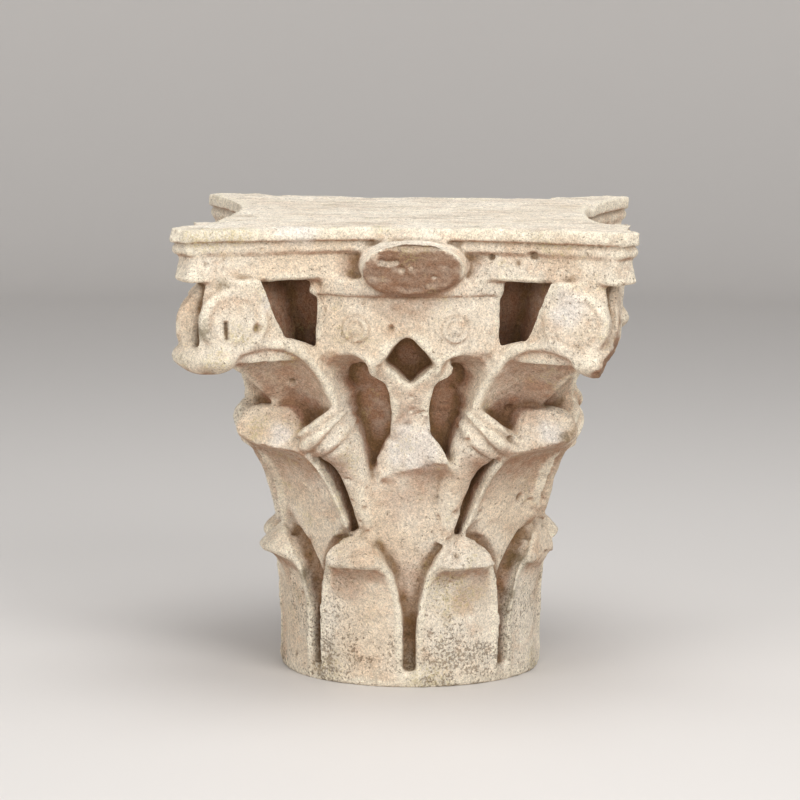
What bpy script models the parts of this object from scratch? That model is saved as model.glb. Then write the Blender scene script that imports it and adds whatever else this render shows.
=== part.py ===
"""A carved stone Corinthian capital, worn and broken, standing on its round foot.

Metres, +Z up. The origin is the centre of the underside, and the front face looks along -Y.
The stone is one solid: a bell with two tiers of leaves, caulicoles that feed the corner leaves
and the middle helices, eight corner volutes and a moulded abacus with four fleurons.
"""

import math

import bmesh
import bpy
import numpy as np
from mathutils import Vector

# Driving dimensions
TOTAL_HEIGHT = 0.411
FOOT_RADIUS = 0.117
FOOT_BAND = 0.014
ABACUS_WIDTH = 0.400
ABACUS_HEIGHT = 0.047
ABACUS_BOW = 0.045
CORNER_CUT = 0.015
SLAB_HEIGHT = 0.013
FILLET_HEIGHT = 0.0075
MOULDING_STEP = 0.0035
LOWER_LEAVES = 8
LOWER_LEAF_HEIGHT = 0.135
MIDDLE_LEAF_HEIGHT = 0.239
CORNER_LEAF_HEIGHT = 0.250
GROOVE_WIDTH = 0.0115
GROOVE_DEPTH = 0.013
COLLAR_HEIGHT = 0.232
COLLAR_RADIUS = 0.0245
LIP_RADIUS = 0.172
LIP_HEIGHT = 0.013
HELIX_RADIUS = 0.0165
HELIX_RELIEF = 0.003
VOLUTE_RADIUS = 0.029
VOLUTE_THICKNESS = 0.019
VOLUTE_RELIEF = 0.0025
VOLUTE_ASIDE = 0.0312
CANOPY_HALF_WIDTH = 0.063
CANOPY_EDGE = 0.0075
FLEURON_WIDTH = 0.088
FLEURON_HEIGHT = 0.047
FLEURON_OFFSET = 0.0066

# Levels and reaches that follow from them
ABACUS_BOTTOM = TOTAL_HEIGHT - ABACUS_HEIGHT
CROWN = ABACUS_BOTTOM - COLLAR_HEIGHT
CANOPY_CREST = COLLAR_HEIGHT + 0.625 * CROWN
HELIX_LEVEL = ABACUS_BOTTOM - 0.31 * CROWN
HELIX_FACE = LIP_RADIUS - 0.15 * LIP_HEIGHT
VOLUTE_LEVEL = ABACUS_BOTTOM - 1.14 * VOLUTE_RADIUS
CORNER_REACH = (ABACUS_WIDTH - CORNER_CUT) * math.sqrt(0.5)
CANOPY_START = 0.80 * LIP_RADIUS
CANOPY_REACH = CORNER_REACH - 0.67 * CORNER_CUT
VOLUTE_REACH = CORNER_REACH - 1.23 * VOLUTE_RADIUS
FLEURON_REACH = ABACUS_WIDTH / 2 - 0.27 * ABACUS_BOW
LEAF_BACK = FOOT_RADIUS - 1.8 * GROOVE_DEPTH
OVERLAP = 0.2 * ABACUS_HEIGHT

# Angles, in degrees
FACES = (0, 90, 180, 270)
CORNERS = (45, 135, 225, 315)
LEAF_SWING = 1.5
MIDDLE_LEAF_SPREAD = 19.2
CORNER_LEAF_SPREAD = 23.0
HELIX_SPREAD = 14.5
FLEURON_SLOPE = 22.0
VOLUTE_TURN = 34.0

# Mesh fineness
VOXEL = 0.003
FACETS = 9400

# Each leaf profile holds rows of (height, middle radius, rim radius, half angle), as shares of the
# leaf's own height, of the foot's radius and of the leaf's widest half angle.
LOWER_LEAF = (
    (0.04, 0.990, 0.995, 0.99),
    (0.33, 0.985, 1.000, 1.00),
    (0.50, 0.990, 1.010, 0.965),
    (0.62, 1.005, 1.020, 0.905),
    (0.71, 1.035, 1.030, 0.835),
    (0.78, 1.105, 1.040, 0.745),
    (0.82, 1.195, 1.045, 0.67),
    (0.86, 1.215, 1.050, 0.60),
    (0.92, 1.155, 1.055, 0.47),
    (0.975, 1.090, 1.060, 0.27),
    (1.0, 1.060, 1.055, 0.07),
)
MIDDLE_LEAF = (
    (0.26, 0.900, 0.905, 0.885),
    (0.42, 0.945, 0.955, 0.96),
    (0.565, 0.995, 1.035, 0.99),
    (0.65, 1.020, 1.075, 1.00),
    (0.72, 1.035, 1.125, 0.95),
    (0.795, 1.095, 1.190, 0.83),
    (0.835, 1.215, 1.225, 0.75),
    (0.86, 1.330, 1.250, 0.69),
    (0.90, 1.365, 1.270, 0.59),
    (0.945, 1.340, 1.280, 0.44),
    (0.985, 1.300, 1.280, 0.21),
    (1.0, 1.280, 1.270, 0.06),
)
CORNER_LEAF = (
    (0.25, 0.900, 0.905, 0.87),
    (0.40, 0.945, 0.960, 0.945),
    (0.50, 0.980, 1.030, 0.975),
    (0.57, 1.005, 1.075, 0.905),
    (0.64, 1.040, 1.125, 0.805),
    (0.71, 1.090, 1.195, 0.715),
    (0.78, 1.180, 1.285, 0.635),
    (0.83, 1.310, 1.360, 0.56),
    (0.86, 1.490, 1.420, 0.50),
    (0.90, 1.630, 1.460, 0.435),
    (0.945, 1.650, 1.470, 0.375),
    (0.985, 1.590, 1.460, 0.30),
    (1.0, 1.530, 1.440, 0.22),
)

# The bell behind the leaves, as (height, flare), shares of the way up to the abacus and of the way
# out from the grooves' floor to the neck under it.
BELL = (
    (0.003, 0.00),
    (0.274, 0.00),
    (0.389, 0.09),
    (0.531, 0.19),
    (0.674, 0.34),
    (0.817, 0.60),
    (0.917, 0.83),
    (1.030, 1.00),
)

# A caulicole's middle line, as (azimuth from the face's middle, radius, height, half width), shares
# of the lip's radius, of the collar's height and of its radius. Its back reaches into the bell by
# the root, a share of the collar's radius.
STALK = (
    (15.6, 0.657, 0.560, 0.33),
    (17.4, 0.682, 0.668, 0.42),
    (19.5, 0.728, 0.785, 0.50),
    (21.9, 0.782, 0.885, 0.62),
    (25.0, 0.838, 0.950, 0.84),
    (28.2, 0.872, 0.990, 0.98),
    (31.0, 0.892, 1.035, 0.92),
)

STALK_ROOT = 1.6

# The wedge behind a corner's volutes, as (height over their middle, inner end, tip), shares of the
# volute's radius, the ends measured from the reach of the volutes' middles.
VOLUTE_STEM = (
    (-1.24, -2.07, 0.74),
    (0.0, -1.25, 0.75),
    (1.24, -0.65, 0.50),
)

# The corner canopy, as (keel reach, keel height, rim reach, rim height, half width), shares of the
# way from the collars to the tip, of the rise to the crest and of the widest half width.
CANOPY = (
    (0.000, -0.12, 0.020, 0.06, 1.00),
    (0.105, 0.07, 0.090, 0.38, 0.95),
    (0.230, 0.23, 0.165, 0.62, 0.89),
    (0.370, 0.41, 0.265, 0.81, 0.85),
    (0.515, 0.59, 0.405, 0.95, 0.81),
    (0.665, 0.67, 0.570, 1.00, 0.75),
    (0.800, 0.66, 0.740, 0.94, 0.62),
    (0.920, 0.68, 0.880, 0.81, 0.46),
    (1.000, 0.80, 0.985, 0.84, 0.20),
)
CANOPY_HOLLOW = 0.15

# Outlines above the collars, as (azimuth from the face's middle, share of the crown's height): the
# foot of the helix band, which arches over the inner leaves and the gap between them, and one half
# of the forked stem.
HELIX_FOOT = (
    (-27.5, 0.440),
    (-24.0, 0.530),
    (-19.0, 0.564),
    (-14.0, 0.557),
    (-10.5, 0.500),
    (-8.0, 0.455),
    (-5.5, 0.515),
    (-2.8, 0.598),
    (0.6, 0.644),
    (4.0, 0.598),
    (7.0, 0.515),
    (9.5, 0.455),
    (12.0, 0.500),
    (15.5, 0.557),
    (20.0, 0.564),
    (25.0, 0.510),
    (28.5, 0.440),
)
FORK = (
    (9.0, -0.15),
    (6.6, 0.09),
    (6.8, 0.20),
    (8.2, 0.32),
    (12.5, 0.38),
    (12.8, 0.455),
    (8.6, 0.475),
)
FORK_CROTCH = 0.322

# An inner leaf's rim, as (azimuth from the face's middle, share of the crown's height, radius and
# width of its hollow as shares of the lip's radius).
INNER_LEAF = (
    (23.0, 0.076, 0.866, 0.105),
    (26.0, 0.258, 0.907, 0.128),
    (27.0, 0.409, 0.942, 0.116),
    (24.4, 0.508, 0.971, 0.105),
    (20.0, 0.553, 0.988, 0.093),
    (15.0, 0.557, 1.000, 0.087),
    (11.5, 0.523, 1.000, 0.076),
    (9.5, 0.462, 0.994, 0.058),
    (9.0, 0.394, 0.971, 0.047),
)
INNER_LEAF_EYE = (18.0, 0.27)

# Breaks of leaf tips, as (radius, height, turn aside, tilt up) of each break's plane: shares of the
# foot's radius and of the leaf's height, then degrees.
LOWER_BREAKS = {
    0: (1.17, 0.83, 4, 34),
    1: (1.10, 0.87, 0, 10),
    3: (1.14, 0.84, -8, 25),
    4: (1.18, 0.83, 5, 40),
    7: (1.18, 0.83, -4, 37),
}
MIDDLE_BREAKS = {
    0: (1.155, 0.837, -22, -3),
    90: (1.24, 0.86, 10, 20),
    180: (1.21, 0.84, 8, 10),
    270: (1.28, 0.88, -6, 25),
}
CORNER_BREAKS = {
    45: (1.59, 0.91, -30, 12),
    135: (1.57, 0.91, 20, 15),
    225: (1.62, 0.92, -20, 10),
    315: (1.52, 0.91, 38, 8),
}

# Breaks across a whole corner, as (reach, height) on the corner's middle line, shares of the
# corner's reach and of the crown's height, then the plane's turn aside and tilt up in degrees.
CORNER_LOSSES = {
    45: ((0.943, 0.80, 41, 0), (0.93, 0.63, 38, -26)),
    315: ((0.985, 0.86, -42, 40),),
}
HOLLOW_CORNER = 315


def spline(rows, count):
    """Rows on a smooth curve through the given ones, evenly spaced by row number."""
    rows = np.array(rows, float)
    padded = np.vstack([2 * rows[0] - rows[1], rows, 2 * rows[-1] - rows[-2]])
    found = []
    for place in np.linspace(0, len(rows) - 1, count):
        start = min(int(place), len(rows) - 2)
        share = place - start
        a, b, c, d = padded[start : start + 4]
        bend = 2 * a - 5 * b + 4 * c - d
        twist = 3 * b - a - 3 * c + d
        found.append(0.5 * (2 * b + (c - a) * share + bend * share**2 + twist * share**3))
    return np.array(found)


def hump(place, centre, width):
    """A smooth hump of height 1 that fades to nothing past its width."""
    return math.exp(-(((place - centre) / width) ** 2))


def crown_height(share):
    """The height at a share of the way from the collars to the abacus."""
    return COLLAR_HEIGHT + share * CROWN


def around(radius, degrees, height):
    """The point at a radius and an azimuth, which is 0 at the front and grows towards +X."""
    turn = math.radians(degrees)
    return (radius * math.sin(turn), -radius * math.cos(turn), height)


def beside(reach, aside, height, azimuth):
    """The point at a reach along an azimuth and a distance to the side of it."""
    turn = math.radians(azimuth)
    x = reach * math.sin(turn) + aside * math.cos(turn)
    y = -reach * math.cos(turn) + aside * math.sin(turn)
    return (x, y, height)


def circle(sides):
    """(cosine, sine) of evenly spaced turns."""
    turns = np.linspace(0, 2 * math.pi, sides, endpoint=False)
    return [(math.cos(turn), math.sin(turn)) for turn in turns]


def loft(rings):
    """A closed mesh through rings of points, capped at both ends."""
    mesh = bmesh.new()
    layers = [[mesh.verts.new(point) for point in ring] for ring in rings]
    for low, high in zip(layers, layers[1:]):
        for i in range(len(low)):
            j = (i + 1) % len(low)
            mesh.faces.new((low[i], low[j], high[j], high[i]))
    mesh.faces.new(layers[0][::-1])
    mesh.faces.new(layers[-1])
    bmesh.ops.triangulate(mesh, faces=mesh.faces[:])
    bmesh.ops.recalc_face_normals(mesh, faces=mesh.faces[:])
    return mesh


def sliced(mesh, point, outward):
    """The mesh without what lies beyond a plane, closed again."""
    parts = mesh.verts[:] + mesh.edges[:] + mesh.faces[:]
    found = bmesh.ops.bisect_plane(
        mesh, geom=parts, plane_co=point, plane_no=outward, clear_outer=True
    )
    edges = [item for item in found["geom_cut"] if isinstance(item, bmesh.types.BMEdge)]
    bmesh.ops.holes_fill(mesh, edges=edges)
    bmesh.ops.triangulate(mesh, faces=mesh.faces[:])
    return mesh


def broken(mesh, azimuth, reach, level, turn, tilt):
    """The mesh snapped off along a plane through a point of an azimuth. The break faces outward,
    turned aside and tilted up by angles in degrees."""
    rise = math.radians(tilt)
    outward = beside(math.cos(rise), 0, math.sin(rise), azimuth + turn)
    return sliced(mesh, beside(reach, 0, level, azimuth), outward)


def ball(centre, radii, azimuth, rows=12, sides=20):
    """An egg-shaped lump at a (reach, aside, height) of an azimuth."""
    rings = []
    for turn in np.linspace(0.02, math.pi - 0.02, rows):
        ring = []
        for cosine, sine in circle(sides):
            reach = centre[0] + radii[0] * math.sin(turn) * cosine
            aside = centre[1] + radii[1] * math.sin(turn) * sine
            ring.append(beside(reach, aside, centre[2] + radii[2] * math.cos(turn), azimuth))
        rings.append(ring)
    return loft(rings)


def relief(outline, foot, head):
    """A shape of (azimuth, height) points raised from the bell to one radius at the outline's
    lowest point and another at its highest."""
    outline = np.array(outline, float)
    low = outline[:, 1].min()
    high = outline[:, 1].max()
    front = []
    for azimuth, height in outline:
        radius = foot + (head - foot) * (height - low) / (high - low)
        front.append(around(radius, azimuth, height))
    back = [around(LEAF_BACK, azimuth, height) for azimuth, height in outline]
    return loft([back, front])


def bell(sides=96):
    """The foot, the grooves' floor and the flaring body behind the leaves."""
    floor = FOOT_RADIUS - GROOVE_DEPTH
    neck = LIP_RADIUS - 1.15 * LIP_HEIGHT
    profile = [(-OVERLAP, FOOT_RADIUS), (FOOT_BAND, FOOT_RADIUS)]
    for height, flare in BELL:
        level = FOOT_BAND + height * (ABACUS_BOTTOM - FOOT_BAND)
        profile.append((level, floor + flare * (neck - floor)))
    angles = np.linspace(0, 360, sides, endpoint=False)
    return loft([[around(radius, angle, level) for angle in angles] for level, radius in profile])


def leaf(azimuth, height, spread, profile, rows=28, columns=17, sharpness=4):
    """A leaf against the bell: a hollow face between two raised rims, and a tip that curls out."""
    across = np.linspace(-1, 1, columns)
    rings = []
    for share, middle, rim, width in spline(profile, rows):
        half = width * spread
        ring = []
        for u in across:
            radius = FOOT_RADIUS * (middle + (rim - middle) * abs(u) ** sharpness)
            ring.append(around(radius, azimuth + half * u, share * height))
        ring += [around(LEAF_BACK, azimuth + half * u, share * height) for u in (1, 0.4, -0.4, -1)]
        rings.append(ring)
    return loft(rings)


def lower_leaves():
    pitch = 360 / LOWER_LEAVES
    spread = pitch / 2 - math.degrees(GROOVE_WIDTH / 2 / FOOT_RADIUS)
    leaves = []
    for index in range(LOWER_LEAVES):
        azimuth = LEAF_SWING + pitch * (index + 0.5)
        one = leaf(azimuth, LOWER_LEAF_HEIGHT, spread, LOWER_LEAF)
        if index in LOWER_BREAKS:
            radius, level, turn, tilt = LOWER_BREAKS[index]
            reach = radius * FOOT_RADIUS
            one = broken(one, azimuth, reach, level * LOWER_LEAF_HEIGHT, turn, tilt)
        leaves.append(one)
    return leaves


def upper_leaf(azimuth, swing, height, spread, profile, breaks):
    """A leaf of the upper tier with its tip snapped off."""
    radius, level, turn, tilt = breaks[azimuth]
    one = leaf(azimuth + swing, height, spread, profile)
    return broken(one, azimuth + swing, radius * FOOT_RADIUS, level * height, turn, tilt)


def stalk(azimuth, side, rows=22, sides=16):
    """A caulicole: a tapering stem that leans to one side and ends in a doubled collar."""
    found = spline(STALK, rows)
    centres = [
        around(radius * LIP_RADIUS, azimuth + side * angle, height * COLLAR_HEIGHT)
        for angle, radius, height, _ in found
    ]
    along = np.gradient(np.array(centres), axis=0)
    rings = []
    for index, centre in enumerate(centres):
        share = index / (rows - 1)
        outward = Vector((centre[0], centre[1], 0)).normalized()
        forward = Vector(along[index]).normalized()
        aside = forward.cross(outward).normalized()
        lift = aside.cross(forward).normalized()
        swell = 1 + 0.07 * hump(share, 0.72, 0.03) + 0.17 * hump(share, 0.86, 0.05)
        width = found[index][3] * COLLAR_RADIUS * swell
        depth = (0.55 * found[index][3] + 0.26) * COLLAR_RADIUS * swell
        ring = []
        for cosine, sine in circle(sides):
            sunk = STALK_ROOT * COLLAR_RADIUS * min(sine, 0)
            ring.append(Vector(centre) + aside * width * cosine + lift * depth * sine + outward * sunk)
        rings.append(ring)
    return loft(rings)


def inner_leaf(azimuth, side, rows=24):
    """The small leaf that turns from a collar towards the middle: a rim that arches over a deep
    hollow and curls down at its end."""
    eye_angle, eye_share = INNER_LEAF_EYE
    rim_width = 0.6 * CANOPY_EDGE
    rings = []
    for angle, share, radius_share, width_share in spline(INNER_LEAF, rows):
        radius = radius_share * LIP_RADIUS
        level = crown_height(share)
        away = Vector((math.radians(eye_angle - angle) * radius, crown_height(eye_share) - level))
        away.normalize()
        hollow = width_share * LIP_RADIUS
        steps = ((0, 0), (rim_width, 0.006), (hollow, 0.175), (0, 0.26))
        ring = []
        for step, sunk in steps:
            turned = azimuth + side * (angle + math.degrees(away.x * step / radius))
            ring.append(around(radius - sunk * LIP_RADIUS, turned, level + away.y * step))
        rings.append(ring)
    return loft(rings)


def fork(azimuth):
    """The stem between the inner leaves, which parts into two arms under the helices."""
    right = [(azimuth + angle, crown_height(share)) for angle, share in FORK]
    left = [(azimuth - angle, crown_height(share)) for angle, share in FORK]
    crotch = [(azimuth, crown_height(FORK_CROTCH))]
    return relief(right + crotch + left[::-1], 0.74 * LIP_RADIUS, 0.965 * LIP_RADIUS)


def helix_band(azimuth):
    """The band across the middle of a face, and the lip along its head."""
    top = ABACUS_BOTTOM + 0.15 * LIP_HEIGHT
    foot = [(azimuth + angle, crown_height(share)) for angle, share in spline(HELIX_FOOT, 49)]
    head = [(angle, top) for angle, _ in foot[::-1]]
    half = HELIX_FOOT[-1][0] + 1
    edges = np.linspace(azimuth - half, azimuth + half, 15)
    lip_foot = [(angle, ABACUS_BOTTOM - LIP_HEIGHT) for angle in edges]
    lip_head = [(angle, top) for angle in edges[::-1]]
    return [
        relief(foot + head, HELIX_FACE, HELIX_FACE),
        relief(lip_foot + lip_head, LIP_RADIUS, LIP_RADIUS),
    ]


def helix(azimuth, side, sides=24):
    """A middle volute: a low round boss on the band."""
    rings = []
    for share, swell in ((-7.0, 1.0), (0.3, 1.0), (1.0, 0.85)):
        radius = HELIX_FACE + share * HELIX_RELIEF
        ring = []
        for cosine, sine in circle(sides):
            turned = side * HELIX_SPREAD + math.degrees(HELIX_RADIUS * swell * cosine / radius)
            ring.append(around(radius, azimuth + turned, HELIX_LEVEL + HELIX_RADIUS * swell * sine))
        rings.append(ring)
    return loft(rings)


def canopy(azimuth, rows=26, columns=9):
    """The corner leaf: two hollow halves that meet on a keel, with a thick edge that arches over
    from the collars and curls under the volutes."""
    span = CANOPY_REACH - CANOPY_START
    rise = CANOPY_CREST - COLLAR_HEIGHT
    rings = []
    for keel_reach, keel_height, rim_reach, rim_height, half in spline(CANOPY, rows):
        keel = Vector((CANOPY_START + keel_reach * span, 0, COLLAR_HEIGHT + keel_height * rise))
        rim = Vector((CANOPY_START + rim_reach * span, half * CANOPY_HALF_WIDTH, 0))
        rim.z = COLLAR_HEIGHT + rim_height * rise
        edge = rim - Vector((0.13, 0.20, 1.0)) * CANOPY_EDGE
        sag = CANOPY_HOLLOW * (edge - keel).length
        half_ring = []
        for share in np.linspace(0, 1, columns):
            inward = Vector((-0.35, 0, 0.94)) * sag * math.sin(math.pi * share) ** 0.8
            half_ring.append(keel.lerp(edge, share) + inward)
        half_ring += [rim, rim - Vector((2.9 * CANOPY_EDGE, 0.1 * rim.y, 0.13 * CANOPY_EDGE))]
        near = [beside(p.x, p.y, p.z, azimuth) for p in half_ring]
        far = [beside(p.x, -p.y, p.z, azimuth) for p in half_ring[:0:-1]]
        rings.append(far + near)
    return loft(rings)


def volute_stem(azimuth):
    """The wedge that carries a corner's two volutes, notched where they part."""
    rings = []
    for rise, inner, tip in VOLUTE_STEM:
        inner_end = VOLUTE_REACH + inner * VOLUTE_RADIUS
        tip_end = VOLUTE_REACH + tip * VOLUTE_RADIUS
        side_end = min(inner_end, tip_end - 1.45 * VOLUTE_RADIUS) + 0.69 * VOLUTE_RADIUS
        plan = (
            (CANOPY_START, 0.1 * VOLUTE_RADIUS),
            (inner_end - 0.3 * VOLUTE_RADIUS, 0.7 * VOLUTE_RADIUS),
            (inner_end, 1.55 * VOLUTE_RADIUS),
            (side_end, 1.48 * VOLUTE_RADIUS),
            (tip_end - 0.41 * VOLUTE_RADIUS, 0.86 * VOLUTE_RADIUS),
            (tip_end, 0.38 * VOLUTE_RADIUS),
        )
        height = VOLUTE_LEVEL + rise * VOLUTE_RADIUS
        near = [beside(reach, aside, height, azimuth) for reach, aside in plan]
        far = [beside(reach, -aside, height, azimuth) for reach, aside in plan[::-1]]
        rings.append(near + [beside(tip_end - 0.48 * VOLUTE_RADIUS, 0, height, azimuth)] + far)
    return loft(rings)


def volute(azimuth, side, sides=28):
    """One corner volute: a thick disc that faces nearly along its side of the abacus."""
    centre = Vector((VOLUTE_REACH, VOLUTE_ASIDE, VOLUTE_LEVEL))
    along = Vector((math.cos(math.radians(VOLUTE_TURN)), -math.sin(math.radians(VOLUTE_TURN)), 0))
    proud = Vector((-along.y, along.x, 0))
    rings = []
    for depth, swell in ((VOLUTE_RELIEF - VOLUTE_THICKNESS, 1.0), (0.0, 1.0), (VOLUTE_RELIEF, 0.9)):
        ring = []
        for cosine, sine in circle(sides):
            point = centre + proud * depth + along * VOLUTE_RADIUS * swell * cosine
            level = point.z + VOLUTE_RADIUS * swell * sine
            ring.append(beside(point.x, side * point.y, level, azimuth))
        rings.append(ring)
    return loft(rings)


def corner(azimuth):
    """The canopy with the roll at its tip and the volutes on it, less what has broken away."""
    roll_centre = (CANOPY_REACH - 0.66 * VOLUTE_RADIUS, 0, CANOPY_CREST - 0.55 * VOLUTE_RADIUS)
    roll = (0.69 * VOLUTE_RADIUS, 1.24 * VOLUTE_RADIUS, 0.50 * VOLUTE_RADIUS)
    shells = [
        canopy(azimuth),
        ball(roll_centre, roll, azimuth),
        volute_stem(azimuth),
        volute(azimuth, -1),
        volute(azimuth, 1),
    ]
    for reach, share, turn, tilt in CORNER_LOSSES.get(azimuth, ()):
        level = crown_height(share)
        for shell in shells:
            broken(shell, azimuth, reach * CORNER_REACH, level, turn, tilt)
    return shells


def abacus(points=15):
    """The moulded slab on top: four bowed sides that meet in cut corners."""
    slab_foot = TOTAL_HEIGHT - SLAB_HEIGHT
    fillet_head = slab_foot - 0.4 * MOULDING_STEP
    fillet_foot = fillet_head - FILLET_HEIGHT
    levels = (
        (ABACUS_BOTTOM, 1.7 * MOULDING_STEP),
        (ABACUS_BOTTOM + 0.9 * MOULDING_STEP, 0.6 * MOULDING_STEP),
        (ABACUS_BOTTOM + 0.4 * (fillet_foot - ABACUS_BOTTOM), 1.3 * MOULDING_STEP),
        (fillet_foot - 0.3 * MOULDING_STEP, 1.7 * MOULDING_STEP),
        (fillet_foot + 0.3 * MOULDING_STEP, 0.7 * MOULDING_STEP),
        (fillet_head, 0.4 * MOULDING_STEP),
        (fillet_head + 0.15 * MOULDING_STEP, MOULDING_STEP),
        (slab_foot - 0.15 * MOULDING_STEP, MOULDING_STEP),
        (slab_foot + 0.3 * MOULDING_STEP, 0.0),
        (TOTAL_HEIGHT + OVERLAP, 0.0),
    )
    rings = []
    for height, inset in levels:
        half = ABACUS_WIDTH / 2 - inset
        ring = []
        for azimuth in FACES:
            for share in np.linspace(-1, 1, points):
                reach = half - ABACUS_BOW * (1 - share**2)
                ring.append(beside(reach, share * (half - CORNER_CUT), height, azimuth))
        rings.append(ring)
    return loft(rings)


def fleuron(azimuth, sides=28):
    """A boss in the middle of an abacus side, snapped off on a slope that faces down a little."""
    level = ABACUS_BOTTOM + 0.27 * ABACUS_HEIGHT
    root = ABACUS_WIDTH / 2 - 1.33 * ABACUS_BOW
    rings = []
    for forward, swell in ((0, 1.12), (0.45, 1.06), (0.8, 1.0), (1.5, 0.98)):
        reach = root + forward * (FLEURON_REACH - root)
        ring = []
        for cosine, sine in circle(sides):
            aside = FLEURON_OFFSET + swell * FLEURON_WIDTH / 2 * cosine
            ring.append(beside(reach, aside, level + swell * FLEURON_HEIGHT / 2 * sine, azimuth))
        rings.append(ring)
    return broken(loft(rings), azimuth, FLEURON_REACH, level, 0, -FLEURON_SLOPE)


def face(azimuth):
    """What belongs to one face of the capital."""
    middle = upper_leaf(
        azimuth, LEAF_SWING, MIDDLE_LEAF_HEIGHT, MIDDLE_LEAF_SPREAD, MIDDLE_LEAF, MIDDLE_BREAKS
    )
    shells = [middle, fork(azimuth + LEAF_SWING), fleuron(azimuth), *helix_band(azimuth)]
    for side in (-1, 1):
        shells += [stalk(azimuth, side), inner_leaf(azimuth, side), helix(azimuth, side)]
    return shells


def object_of(name, shells):
    """One object that holds closed shells, which may overlap."""
    whole = bmesh.new()
    for shell in shells:
        piece = bpy.data.meshes.new("shell")
        shell.to_mesh(piece)
        shell.free()
        whole.from_mesh(piece)
        bpy.data.meshes.remove(piece)
    data = bpy.data.meshes.new(name)
    whole.to_mesh(data)
    whole.free()
    found = bpy.data.objects.new(name, data)
    bpy.context.scene.collection.objects.link(found)
    return found


def applied(stone):
    """The object with its modifiers made part of its mesh."""
    graph = bpy.context.evaluated_depsgraph_get()
    data = bpy.data.meshes.new_from_object(stone.evaluated_get(graph))
    stone.modifiers.clear()
    old = stone.data
    stone.data = data
    bpy.data.meshes.remove(old)
    data.name = stone.name
    return stone


def skin_over(stone):
    """Adds the step that wraps everything in one even skin."""
    skin = stone.modifiers.new("one skin", "REMESH")
    skin.mode = "VOXEL"
    skin.voxel_size = VOXEL


def fused(stone):
    """The shells joined into one skin, with worn edges, and the pit sunk between two volutes."""
    skin_over(stone)
    centre = (VOLUTE_REACH + 0.45 * VOLUTE_RADIUS, 0, VOLUTE_LEVEL - 0.35 * VOLUTE_RADIUS)
    radii = (0.45 * VOLUTE_RADIUS, 0.17 * VOLUTE_RADIUS, 0.40 * VOLUTE_RADIUS)
    pit = object_of("pit", [ball(centre, radii, HOLLOW_CORNER)])
    pit.hide_render = True
    pit.display_type = "WIRE"
    hole = stone.modifiers.new("pit", "BOOLEAN")
    hole.operation = "DIFFERENCE"
    hole.object = pit
    skin_over(stone)
    worn = stone.modifiers.new("worn edges", "SMOOTH")
    worn.factor = 0.5
    worn.iterations = 2
    applied(stone)
    bpy.data.objects.remove(pit, do_unlink=True)
    return stone


def faceted(stone):
    """The skin reduced to flat facets, with the underside and the top cut flat."""
    facets = stone.modifiers.new("facets", "DECIMATE")
    facets.ratio = FACETS / sum(len(polygon.vertices) - 2 for polygon in stone.data.polygons)
    applied(stone)
    mesh = bmesh.new()
    mesh.from_mesh(stone.data)
    sliced(mesh, (0, 0, 0), (0, 0, -1))
    sliced(mesh, (0, 0, TOTAL_HEIGHT), (0, 0, 1))
    mesh.to_mesh(stone.data)
    mesh.free()
    return stone


def limestone():
    coat = bpy.data.materials.new("limestone")
    coat.use_nodes = True
    shader = coat.node_tree.nodes["Principled BSDF"]
    shader.inputs["Base Color"].default_value = (0.74, 0.62, 0.49, 1)
    shader.inputs["Roughness"].default_value = 0.9
    shader.inputs["Metallic"].default_value = 0.0
    return coat


def main():
    for obj in list(bpy.data.objects):
        bpy.data.objects.remove(obj, do_unlink=True)
    shells = [bell(), abacus(), *lower_leaves()]
    for azimuth in FACES:
        shells += face(azimuth)
    for azimuth in CORNERS:
        corner_leaf = upper_leaf(
            azimuth, 0, CORNER_LEAF_HEIGHT, CORNER_LEAF_SPREAD, CORNER_LEAF, CORNER_BREAKS
        )
        shells += [corner_leaf, *corner(azimuth)]
    stone = faceted(fused(object_of("capital", shells)))
    stone.data.materials.clear()
    stone.data.materials.append(limestone())
    stone.data.shade_smooth()
    stone.data.set_sharp_from_angle(angle=math.radians(35))


if __name__ == "__main__":
    main()
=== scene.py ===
"""The frame's worn Corinthian capital, dressed as weathered limestone.

The stone is built again from the solid's own shapes at a fine resolution, then broken, chipped,
pitted and worn. Metres, +Z up, with the front face towards -Y.
"""

import math

import bmesh
import bpy
import numpy as np
from mathutils import Matrix, Vector
from mathutils.bvhtree import BVHTree
from mathutils.kdtree import KDTree


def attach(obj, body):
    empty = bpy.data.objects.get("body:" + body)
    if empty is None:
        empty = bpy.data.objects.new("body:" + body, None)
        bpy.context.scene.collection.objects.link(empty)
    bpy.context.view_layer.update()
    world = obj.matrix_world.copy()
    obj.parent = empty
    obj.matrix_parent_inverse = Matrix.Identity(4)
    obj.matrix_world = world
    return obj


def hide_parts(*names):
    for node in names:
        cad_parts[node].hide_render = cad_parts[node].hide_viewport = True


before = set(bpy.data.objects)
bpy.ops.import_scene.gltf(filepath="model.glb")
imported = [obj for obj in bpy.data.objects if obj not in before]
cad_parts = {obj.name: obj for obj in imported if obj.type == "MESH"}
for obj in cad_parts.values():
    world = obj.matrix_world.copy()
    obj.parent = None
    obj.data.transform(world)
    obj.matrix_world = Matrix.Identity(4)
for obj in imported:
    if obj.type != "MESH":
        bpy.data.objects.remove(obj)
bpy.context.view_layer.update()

# Sizes of the solid
TOTAL_HEIGHT = 0.411
FOOT_RADIUS = 0.117
FOOT_BAND = 0.014
ABACUS_WIDTH = 0.400
ABACUS_HEIGHT = 0.047
ABACUS_BOW = 0.045
CORNER_CUT = 0.015
SLAB_HEIGHT = 0.013
FILLET_HEIGHT = 0.0075
MOULDING_STEP = 0.0035
LOWER_LEAVES = 8
LOWER_LEAF_HEIGHT = 0.135
MIDDLE_LEAF_HEIGHT = 0.239
CORNER_LEAF_HEIGHT = 0.250
GROOVE_WIDTH = 0.0115
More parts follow.
